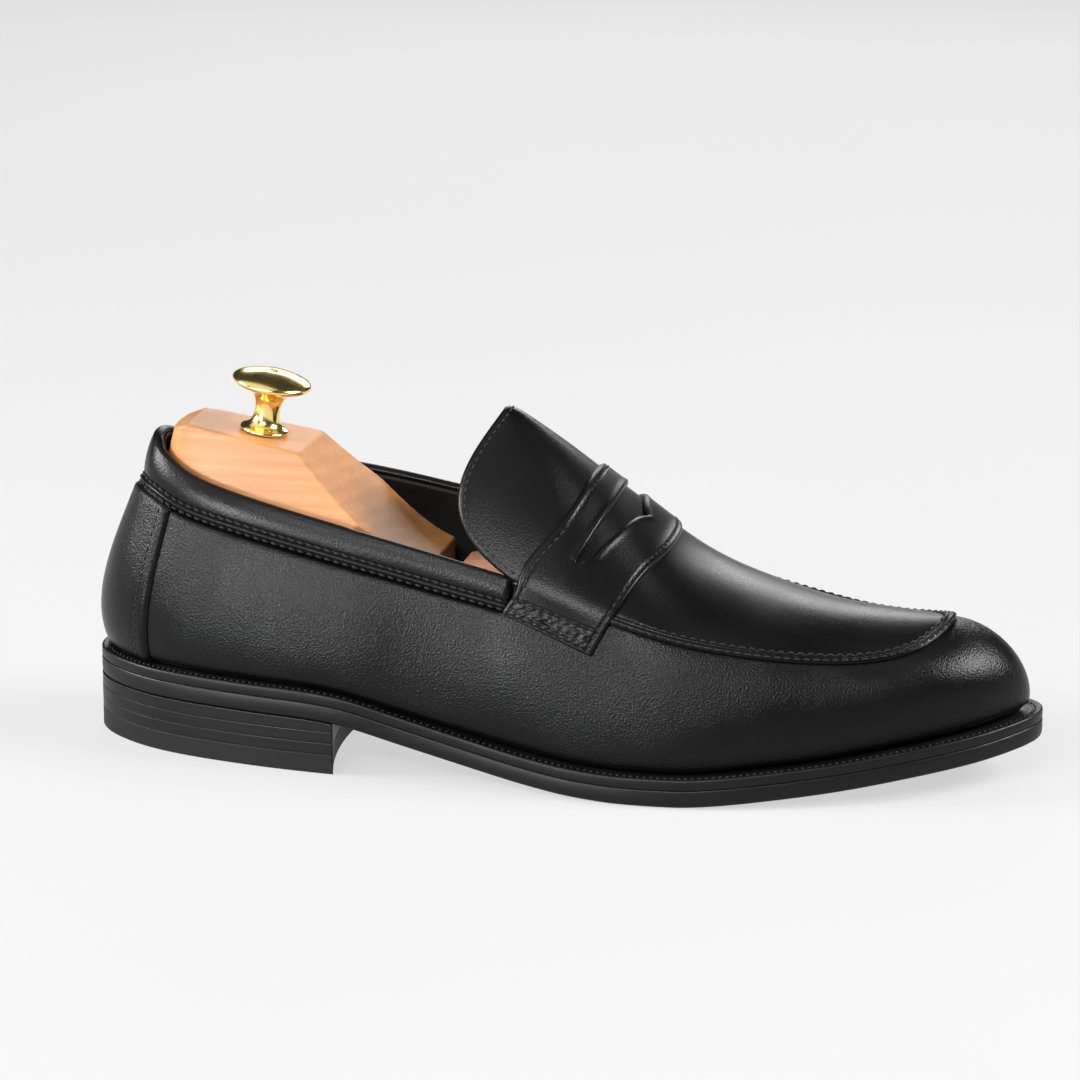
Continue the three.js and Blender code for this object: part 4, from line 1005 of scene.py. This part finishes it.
def slit_rear(w):
    return 0.328 + 0.014 * np.clip(np.abs(w) / 0.56, 0, 1) ** 2


def hash_wave(x, y, seed):
    """Slow, even wobble from a few crossed waves."""
    total = 0
    for k in range(1, 5):
        a = seed * 1.7 + k * 2.4
        total = total + np.sin(x * math.cos(a) * k * 1.3 + y * math.sin(a) * k * 1.3 + a * 3.1) / k
    return total / 2


def strap_lift(q, w):
    """Gap between the strap and what lies under it: more over the apron seam and under its front lip."""
    over_seam = np.exp(-((np.abs(w) - STRAP_SEAM_W) / 0.09) ** 2)
    lip = np.exp(-((1 - q) * STRAP_WIDTH / 3.0) ** 2) * np.exp(-(w / 0.26) ** 4)
    return 0.45 + 0.5 * over_seam + 1.0 * lip


def strap_relief(q, w):
    """Height of the strap's face over its flat thickness, in mm."""
    side = np.minimum(q, 1 - q) * STRAP_WIDTH
    end = (1 - np.abs(w)) * STRAP_LENGTH
    d = -1.0 * np.exp(-(side / 0.42) ** 2) - 0.9 * np.exp(-(end / 0.42) ** 2)
    d = d - 0.22 * np.exp(-((side - EDGE_ROW) / 0.42) ** 2)
    tab = smooth(np.abs(w), 0.79, 0.83)
    row = (np.abs(w) - TAB_ROW) * STRAP_LENGTH
    d = d - 0.3 * np.exp(-(row / 0.7) ** 2) - 0.25 * np.exp(-((end - END_ROW) / 0.5) ** 2)
    wrinkle = hash_wave(q * 26, w * 60, 1.0) + 0.5 * hash_wave(q * 55, w * 120, 4.0)
    middle = np.exp(-((q - 0.46) / 0.3) ** 2)
    d = d + tab * smooth(side, 2.4, 4.0) * smooth(end, 1.6, 3.0) * (0.22 * wrinkle + 0.15)
    from_pucker = (np.abs(w) - 0.905) * STRAP_LENGTH
    pucker = np.exp(-(((q - 0.42) * STRAP_WIDTH / 1.3) ** 2 + (from_pucker / 0.9) ** 2))
    ridge = np.exp(-(((np.abs(w) - 0.93) * STRAP_LENGTH) / 0.7) ** 2)
    return d - 0.55 * pucker * (tab > 0) + 0.3 * middle * tab * ridge


def saddle_strap():
    w = np.concatenate([np.linspace(-1, -0.97, 8), np.linspace(-0.965, -0.58, 56),
                        np.linspace(-0.575, -0.43, 40), np.linspace(-0.42, -0.01, 44), np.array([0.0])])
    w = np.concatenate([w, -w[-2::-1]])
    rear_part, front_part = np.linspace(0, 1, 34) ** 1.15, np.linspace(0, 1, 44)
    front_part = 1 - (1 - front_part) ** 1.15
    rear, front = slit_rear(w), np.maximum(slit_front(w), slit_rear(w))
    gap = (front - rear) * STRAP_WIDTH
    q = np.array([np.concatenate([rear[k] * rear_part, front[k] + (1 - front[k]) * front_part])
                  for k in range(len(w))])
    fine_q = np.linspace(0, 1, 65)
    base, normal = strap_grid(fine_q, w)
    points, normals = np.empty(q.shape + (3,)), np.empty(q.shape + (3,))
    for k in range(len(w)):
        for c in range(3):
            points[k, :, c] = np.interp(q[k], fine_q, base[k, :, c])
            normals[k, :, c] = np.interp(q[k], fine_q, normal[k, :, c])
    normals = unit(normals)
    W = np.repeat(w[:, None], q.shape[1], 1)
    relief = strap_relief(q, W)
    open_k = smooth(gap, 0.05, 1.2)[:, None]
    behind = np.arange(q.shape[1])[None, :] < len(rear_part)
    edge = np.abs(np.where(behind, q - rear[:, None], q - front[:, None])) * STRAP_WIDTH
    relief = relief - open_k * 0.9 * np.exp(-(edge / 0.4) ** 2)
    relief = relief + open_k * 0.25 * np.exp(-((edge - 1.3) / 1.0) ** 2)
    lift = strap_lift(q, W)
    outer = points + normals * (lift + STRAP + relief)[..., None]
    inner = points + normals * lift[..., None]
    n, m = q.shape
    cut = len(rear_part) - 1
    verts = np.concatenate([outer.reshape(-1, 3), inner.reshape(-1, 3)])
    other, faces = n * m, []
    for i in range(n - 1):
        for j in range(m - 1):
            if j == cut:
                continue
            a, b, c, d = i * m + j, (i + 1) * m + j, (i + 1) * m + j + 1, i * m + j + 1
            faces += [(a, b, c, d), (other + a, other + d, other + c, other + b)]
        opened = gap[i] > 1e-3 or gap[i + 1] > 1e-3
        for j in [0, m - 1] + ([cut, cut + 1] if opened else []):
            a, b = i * m + j, (i + 1) * m + j
            faces.append((a, b, other + b, other + a))
    for i in (0, n - 1):
        for j in range(m - 1):
            if j != cut:
                a, b = i * m + j, i * m + j + 1
                faces.append((a, b, other + b, other + a))
    obj = outward_faces(mesh_object("strap_with_slit", place(verts), faces, SMOOTH))
    done(obj, replaces=("saddle_strap",))

    def row(qs, ws):
        """Points and normals of a stitch row at (qs, ws), a little under the strap's face."""
        b, nn = strap_grid(fine_q, ws)
        k = np.clip(np.searchsorted(fine_q, qs) - 1, 0, 63)
        f = ((qs - fine_q[k]) / (fine_q[1] - fine_q[0]))[:, None]
        i = np.arange(len(ws))
        p = b[i, k] * (1 - f) + b[i, k + 1] * f
        return p + nn[i, k] * (strap_lift(qs, ws) + STRAP - 0.22)[:, None], nn[i, k]

    long_w = np.linspace(-0.965, 0.965, 260)
    rows = [row(np.full(260, at), long_w) for at in (EDGE_ROW / STRAP_WIDTH, 1 - EDGE_ROW / STRAP_WIDTH)]
    across = np.linspace(0.075, 0.925, 50)
    for sign in (-1, 1):
        for at in (TAB_ROW, 1 - END_ROW / STRAP_LENGTH):
            rows.append(row(across, np.full(50, sign * at) + across * 1e-9))
    stitches("strap_stitching", rows, size=0.95, pitch=2.9)


# ---------------------------------------------------------------- sole and heel
def sole_edge(side, a, d):
    """Points of the sole's outline moved in by d."""
    ox, oy = side.outward(a)
    return from_share(a) - ox * d, side.edge(a) - oy * d


def sole_plate(name, profile, material, replaces, inset=0.0):
    """A sole layer; profile is (inset from the edge, height as a curve of x), from top to bottom."""
    a = np.concatenate([np.linspace(0.0, 0.02, 8), np.linspace(0.024, 0.976, 260), np.linspace(0.98, 1.0, 8)])
    rings = []
    for share_at in a:
        left, right = [], []
        for d, z in profile:
            for side, out in ((OUTER, left), (INNER, right)):
                x, y = sole_edge(side, share_at, d + inset)
                out.append((float(x), float(y), float(z(x))))
        rings.append(left + right[::-1])
    return done(tube(name, np.array(rings), material), replaces=replaces)


def sole():
    top = lambda lift: (lambda x: seat_z(x) + lift)
    low = lambda lift: (lambda x: tread_z(x) + lift)
    joint = OUTSOLE + 0.15
    welt = [(9, top(0)), (4.4, top(0)), (4.1, top(-0.25)), (3.4, top(-0.3)), (3.1, top(0.0)),
            (1.4, top(0.05)), (1.0, top(0.28)), (0.5, top(0.28)), (0.12, top(0.02)),
            (0.0, top(-0.4)), (0.02, low(joint + 0.5)), (0.16, low(joint + 0.16)),
            (0.4, low(joint)), (9, low(joint))]
    sole_plate("welt", welt, SOLE_EDGE, ("welt_midsole",), 0.05)
    base = [(9, low(joint)), (0.4, low(joint)), (0.16, low(joint - 0.16)), (0.02, low(joint - 0.5)),
            (0.0, low(2.6)), (0.1, low(0.9)), (0.35, low(0.3)), (0.9, low(0.0)), (9, low(0.0)),
            (14, low(0.0))]
    sole_plate("outsole_layer", base, SOLE_EDGE, ("outsole",))
    ring = np.concatenate([np.linspace(0.002, 0.998, 700), 2 - np.linspace(0.998, 0.002, 700)])
    points, normals = [], []
    for s in ring:
        side, share_at = (OUTER, s) if s <= 1 else (INNER, 2 - s)
        x, y = sole_edge(side, share_at, 2.35)
        points.append((float(x), float(y), float(seat_z(x)) + 0.06))
        normals.append((0, 0, 1))
    stitches("welt_stitching", [(np.array(points), np.array(normals, float))], size=0.72, pitch=2.1)


HEEL_LENGTH, BREAST_CURVE, TOP_PIECE, LIFTS = 86.0, 5.0, 6.0, 3


def heel_outline(d):
    """The heel's outline moved in by d, from the outer breast corner round the back to the inner one."""
    far = float(to_share(HEEL_LENGTH))
    shares = far * (1 - np.linspace(0, 1, 70) ** 1.3)
    out = []
    for side, run in ((OUTER, shares), (INNER, shares[::-1][1:])):
        for a in run:
            x, y = sole_edge(side, a, d)
            out.append((min(float(x), HEEL_LENGTH - d), float(y)))
    (x0, y0), (_, y1) = out[0], out[-1]
    for k in np.linspace(0, 1, 26)[1:-1]:
        y = y1 + (y0 - y1) * k
        out.append((x0 - BREAST_CURVE * (1 - (2 * k - 1) ** 2), y))
    return np.array(out)


def heel_plate(name, low, high, material, replaces, soft=0.08, inset=0.0):
    """One layer of the heel between two height curves, with its edges eased."""
    rings = []
    easing = [(3.0, 0.0), (soft * 2.4, 0.0), (soft, soft * 0.3), (0.0, soft * 1.6), (0.0, soft * 1.6 + 0.25)]
    levels = [(d, step, 1) for d, step in easing] + [(d, step, -1) for d, step in easing[::-1]]
    for d, step, end in levels:
        line = heel_outline(d + inset)
        z = (low(line[:, 0]) + step) if end > 0 else (high(line[:, 0]) - step)
        rings.append(np.column_stack([line, z]))
    return done(tube(name, np.array(rings), material), replaces=replaces)


def heel():
    flat = lambda z: (lambda x: np.full_like(x, z))
    heel_plate("heel_rubber_piece", flat(0.0), flat(TOP_PIECE + 0.17), HEEL_RUBBER,
               ("heel_top_piece",), 0.1)
    lift = (HEEL_HEIGHT - TOP_PIECE - GAP) / LIFTS
    for k in range(LIFTS):
        z = TOP_PIECE + 0.2 + k * lift
        high = (lambda x: tread_z(x) - 0.05) if k == LIFTS - 1 else flat(z + lift - 0.03)
        heel_plate(f"heel_layer_{k + 1}", flat(z), high, HEEL_EDGE,
                   (f"heel_lift_{k + 1}",), 0.06, (0.03, 0.0, 0.04)[k])


# ---------------------------------------------------------------- linings
def wall_sheet(name, s0, s1, low, high, offset, thick, material, replaces, count=110):
    s = np.linspace(s0, s1, count)
    k = np.linspace(0, 1, 40)
    t = low(s)[:, None] + (high(s) - low(s))[:, None] * k[None, :]
    S = np.repeat(s[:, None], 40, 1)
    outer = on_wall(S, t, np.full_like(S, offset))
    inner = on_wall(S, t, np.full_like(S, offset - thick))
    return done(shell(name, outer, inner, material), replaces=replaces)


def linings():
    low = lambda s: share(s, LEATHER + GAP + 1)
    high = lambda s: 1 - share(s, 0.6)
    grip, end, butt = 0.16, 0.49, 0.003
    sheets = [("lining_heel", -grip, grip, "heel_grip_lining"),
              ("lining_outer", grip + butt, end, "quarter_lining_outer"),
              ("lining_inner", -end, -grip - butt, "quarter_lining_inner")]
    for name, s0, s1, node in sheets:
        wall_sheet(name, s0, s1, low, high, SKIN, LINING, LINING_LEATHER, (node,))
    wall_sheet("lining_vamp", end + 0.008, 2 - end - 0.008, low, lambda s: 1 - share(s, 5), SKIN, LINING,
               DRILL, ("vamp_lining",), 160)


# ---------------------------------------------------------------- shoe tree
SOCK_Z = CURVED_GAP + LEATHER + CURVED_GAP + 2.4 + GAP
TREE_WALL = INSIDE - 1.3
TOP_X, TOP_Z, TOP_TILT = 54.0, 97.6, math.radians(10)
TOP_HALF, TOP_REAR, TOP_FRONT, FRONT_TOP, FRONT_LOW, BLOCK_FRONT = 11.5, 28.0, 69.0, 62.7, 39.0, 112.0
TREE_TRAVEL, SQUEEZE_TRAVEL, ROD_Z = 6.0, 3.8, 50.0
SLEEVE_FRONT, SLEEVE_D, ROD_REAR, ROD_D = 151.0, 12.0, 66.0, 6.0
SPLIT_Y, SPLIT_GAP = 12.0, 4.4
PINS, PIN_D, SPRING_SEAT, SPREAD_D = ((172, 34), (222, 32)), 4.0, 6.0, 8.0


def tree_floor(x):
    return seat_z(x) + SOCK_Z + 1.6


def top_face(x):
    return TOP_Z - math.tan(TOP_TILT) * (x - TOP_X)


def plain_mesh(name, verts, faces):
    return outward_faces(mesh_object(name, place(np.array(verts, float)), faces, BLOCK_WOOD))


def prism(name, outline, low, high, axis):
    """A closed prism of an outline, along y (outline in x, z) or up (outline in x, y)."""
    n = len(outline)
    verts = []
    for level in (low, high):
        verts += [(a, level, b) if axis == "y" else (a, b, level) for a, b in outline]
    faces = [tuple(range(n)), tuple(range(2 * n - 1, n - 1, -1))]
    faces += [(k, (k + 1) % n, n + (k + 1) % n, n + k) for k in range(n)]
    return plain_mesh(name, verts, faces)


def rod(name, start, end, diameter, count=48):
    """A closed rod between two points."""
    start, end = np.array(start, float), np.array(end, float)
    along = unit(end - start)
    side = unit(np.cross(along, [0.3, 0.2, 0.9]))
    other = np.cross(along, side)
    angle = np.linspace(0, 2 * math.pi, count, endpoint=False)
    ring = (np.cos(angle)[:, None] * side + np.sin(angle)[:, None] * other) * diameter / 2
    verts = np.concatenate([start + ring, end + ring])
    faces = [tuple(range(count)), tuple(range(2 * count - 1, count - 1, -1))]
    faces += [(k, (k + 1) % count, count + (k + 1) % count, count + k) for k in range(count)]
    return plain_mesh(name, verts, faces)


def carve(target, cuts, voxel, rounds):
    """Joins and cuts with the helpers given, then eases every edge as sanding does."""
    bpy.context.view_layer.objects.active = target
    for operation, helper in cuts:
        change = target.modifiers.new("cut", "BOOLEAN")
        change.operation, change.object, change.solver = operation, helper, "EXACT"
        bpy.ops.object.modifier_apply(modifier=change.name)
        bpy.data.objects.remove(helper, do_unlink=True)
    even = target.modifiers.new("even", "REMESH")
    even.mode, even.voxel_size, even.use_smooth_shade = "VOXEL", voxel * MM, True
    bpy.ops.object.modifier_apply(modifier=even.name)
    sand = target.modifiers.new("sand", "SMOOTH")
    sand.factor, sand.iterations = 0.5, rounds
    bpy.ops.object.modifier_apply(modifier=sand.name)
    return target


def heel_block():
    end = float(to_share(BLOCK_FRONT + 3))
    a = end * np.linspace(0, 1, 70)
    t = 0.03 + 0.85 * np.linspace(0, 1, 26)
    A, T = np.meshgrid(a, t, indexing="ij")
    outer = on_wall(A, T, np.full_like(A, TREE_WALL))
    inner = on_wall(-A, T, np.full_like(A, TREE_WALL))
    rings = []
    for i in range(len(a)):
        left, right = outer[i].copy(), inner[i].copy()
        if i == 0:
            left[:, 1] = 0
            right = left
        crests = [[max(side[-1][0] + 4, TOP_REAR), float(np.clip(side[-1][1], -TOP_HALF, TOP_HALF)), 104]
                  for side in (left, right)]
        rings.append(np.concatenate([left, crests, right[::-1]]))
    block = tube("tree_heel_wood", np.array(rings), BLOCK_WOOD)
    rear = tree_floor(20)
    profile = [(0, rear), (0, 84), (9, 90.5), (17, 95), (21, 97.6), (25, 99.4), (29, 100.4),
               (TOP_REAR + 4, 101.2), (TOP_REAR + 8, top_face(TOP_REAR + 8)),
               (TOP_FRONT, top_face(TOP_FRONT))]
    for k in np.linspace(0, 1, 25)[1:]:
        fall = 1 - (1 - k) ** (1 / 0.72)
        profile.append((TOP_FRONT + (BLOCK_FRONT - TOP_FRONT) * k,
                        top_face(TOP_FRONT) + (FRONT_TOP - top_face(TOP_FRONT)) * fall))
    profile += [(BLOCK_FRONT, FRONT_LOW), (84, rear)]
    plan = [(-5, -34), (58, -32), (84, -24), (116, -13), (116, 14), (84, 23), (58, 31), (-5, 34)]
    tilt = np.array([math.sin(TOP_TILT), 0, math.cos(TOP_TILT)])
    seat = np.array([TOP_X, 0, TOP_Z])
    carve(block, [("INTERSECT", prism("cut_side", profile, -60, 60, "y")),
                  ("INTERSECT", prism("cut_plan", plan, 0, 130, "z")),
                  ("DIFFERENCE", rod("cut_sleeve", (80, 0, ROD_Z), (120, 0, ROD_Z), SLEEVE_D + 0.9)),
                  ("DIFFERENCE", rod("cut_rod", (ROD_REAR - 0.5, 0, ROD_Z), (81, 0, ROD_Z), ROD_D + 0.9)),
                  ("DIFFERENCE", rod("cut_stud", seat - tilt * 16.6, seat + tilt * 5, 6.9))], 0.62, 3)
    done(block, "tree_heel", ("tree_heel_block",))


TREE_HALF = Through([(118, 17), (130, 25), (150, 32), (170, 36), (188, 37.5), (205, 36.6), (225, 32),
                     (245, 24.6), (258, 16.5), (266, 6)])
TREE_TOP = Through([(118, 60), (135, 63), (150, 63), (165, 60), (185, 54), (205, 47.5), (225, 42.6),
                    (245, 37.6), (258, 33), (266, 28)])
FORE_REAR = BLOCK_FRONT + TREE_TRAVEL + 0.5


def forepart(name):
    rings = []
    for k in np.sin(np.linspace(0, math.pi / 2, 70)):
        x = FORE_REAR + (266 - FORE_REAR) * float(k)
        low = max(float(tree_floor(x)), 38 - (x - FORE_REAR) * 0.62)
        high, half = float(TREE_TOP(x)), float(TREE_HALF(x))
        angle = np.linspace(0, 2 * math.pi, 96, endpoint=False)
        c, s = np.cos(angle), np.sin(angle)
        y = SPINE_Y + half * np.sign(c) * np.abs(c) ** 0.8
        z = (low + high) / 2 + (high - low) / 2 * np.sign(s) * np.abs(s) ** 0.8
        rings.append(np.column_stack([np.full(96, x), y, z]))
    return tube(name, np.array(rings), FORE_WOOD)


def forepart_halves():
    main_face, side_face = SPLIT_Y - SPLIT_GAP / 2, SPLIT_Y + SPLIT_GAP / 2
    pin_from, pin_to = main_face - 14, side_face + 12
    box = lambda name, y0, y1: prism(name, [(30, y0), (330, y0), (330, y1), (30, y1)], -40, 160, "z")
    spring_x, spring_z = PINS[1]
    main = [("INTERSECT", box("keep_main", -60, main_face)),
            ("DIFFERENCE", rod("cut_sleeve", (100, 0, ROD_Z), (SLEEVE_FRONT + 0.3, 0, ROD_Z),
                               SLEEVE_D + 0.7)),
            ("DIFFERENCE", rod("cut_seat", (spring_x, main_face - SPRING_SEAT - 0.2, spring_z),
                               (spring_x, side_face, spring_z), SPREAD_D + 1.2))]
    side = [("INTERSECT", box("keep_side", side_face, 70)),
            ("DIFFERENCE", rod("cut_seat", (spring_x, main_face, spring_z),
                               (spring_x, side_face + SPRING_SEAT + 0.2, spring_z), SPREAD_D + 1.2))]
    for x, z in PINS:
        main.append(("DIFFERENCE", rod("cut_pin", (x, pin_from - 0.5, z), (x, side_face, z), PIN_D + 0.8)))
        side.append(("DIFFERENCE", rod("cut_pin", (x, main_face, z), (x, pin_to + 5, z), PIN_D + 0.8)))
    for piece, cuts, body, node in (("tree_fore_main_wood", main, "shoe", "tree_forepart_main"),
                                    ("tree_fore_side_wood", side, "tree_side", "tree_forepart_side")):
        done(carve(forepart(piece), cuts, 0.85, 2), body, (node,))


def coil_spring(name, start, axis, length, outer, wire, turns, material):
    """A closed and ground coil spring along an axis."""
    start, axis = np.array(start, float), unit(np.array(axis, float))
    side = unit(np.cross(axis, [0.0, 0.1, 1.0]))
    other = np.cross(axis, side)
    count = int(turns * 40)
    k = np.linspace(0, 1, count)
    radius = (outer - wire) / 2
    angle = 2 * math.pi * turns * k
    dead = 0.75 / turns                      # the end coils lie flat
    rise = np.interp(k, [0, dead, 1 - dead, 1], [0, wire * 0.8, length - wire * 1.8, length - wire])
    line = (start + axis * (wire / 2 + rise)[:, None]
            + radius * (np.cos(angle)[:, None] * side + np.sin(angle)[:, None] * other))
    ahead = unit(np.gradient(line, axis=0))
    rings = []
    for p, d, g in zip(line, ahead, angle):
        out = math.cos(g) * side + math.sin(g) * other
        up = np.cross(d, out)
        rings.append([p + wire / 2 * (math.cos(h) * out + math.sin(h) * up)
                      for h in np.linspace(0, 2 * math.pi, 12, endpoint=False)])
    return tube(name, np.array(rings), material)


def springs():
    rod_front = 116.0
    room = SLEEVE_FRONT - rod_front - 0.6
    main = coil_spring("main_coil", (rod_front + 0.3, 0, ROD_Z), (1, 0, 0), room, 8.4, 1.1, 8, WIRE)
    done(main, "shoe", ("tree_main_spring",))
    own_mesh(main)
    x, z = PINS[1]
    length = SPLIT_GAP + 2 * SPRING_SEAT - 0.6
    spread = coil_spring("spread_coil", (x, SPLIT_Y - length / 2, z), (0, 1, 0), length, 8, 1, 6, WIRE)
    done(spread, "shoe", ("tree_spread_spring",))
    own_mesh(spread)


def knob():
    """Turned brass knob: flanged foot, waisted neck and a domed disc."""
    profile = [(3.3, 0.3), (7.3, 0.3), (7.62, 0.5), (7.74, 0.85), (7.62, 1.25), (7.2, 1.6), (6.2, 2.0),
               (5.3, 2.6), (4.65, 3.5), (4.25, 4.7), (4.05, 6.0), (4.0, 7.4), (4.1, 8.8), (4.4, 10.2),
               (4.95, 11.4), (5.8, 12.5), (7.0, 13.4), (8.6, 14.2), (10.2, 14.75), (11.4, 15.15),
               (12.05, 15.5), (12.4, 15.95), (12.5, 16.4), (12.4, 16.85), (12.0, 17.3), (11.3, 17.7),
               (10.0, 18.25), (8.2, 18.85), (6.0, 19.4), (3.6, 19.8), (1.6, 19.96), (0.3, 20.0)]
    inner = [(0.3, 9.6), (3.3, 9.4)]
    n = 96
    angle = np.linspace(0, 2 * math.pi, n, endpoint=False)
    rings = []
    for r, h in profile + inner:
        x, y, z = r * np.cos(angle), r * np.sin(angle), np.full(n, h)
        rings.append(np.column_stack([TOP_X + x * math.cos(TOP_TILT) + z * math.sin(TOP_TILT), y,
                                      TOP_Z - x * math.sin(TOP_TILT) + z * math.cos(TOP_TILT)]))
    obj = tube("knob_turned", np.array(rings), BRASS, closed=True)
    soften = obj.modifiers.new("soften", "SUBSURF")
    soften.levels = soften.render_levels = 1
    done(obj, "tree_heel", ("tree_knob",))


CAD_FINISH = {
    "topline_tape": TAPE, "heel_counter": BOARD, "toe_puff": BOARD, "apron_lining": DRILL,
    "insole": INSOLE_LEATHER, "sock_liner": LINING_LEATHER, "cork_filler": CORK, "shank": STEEL,
    "heel_screw": STEEL, "tree_sleeve": STEEL, "tree_rod": STEEL,
    "tree_guide_pin_1": STEEL, "tree_guide_pin_2": STEEL, "tree_knob_stud": STEEL}


def cad_finishes():
    for name, material in CAD_FINISH.items():
        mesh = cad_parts[name].data
        mesh.materials.clear()
        mesh.materials.append(material)


# ---------------------------------------------------------------- everything together
vamp_and_quarters()
collar()
collar_stitching()
apron_and_tongue()
apron_seam()
tongue_stitching()
back_strip()
saddle_strap()
sole()
heel()
linings()
heel_block()
forepart_halves()
springs()
knob()
cad_finishes()
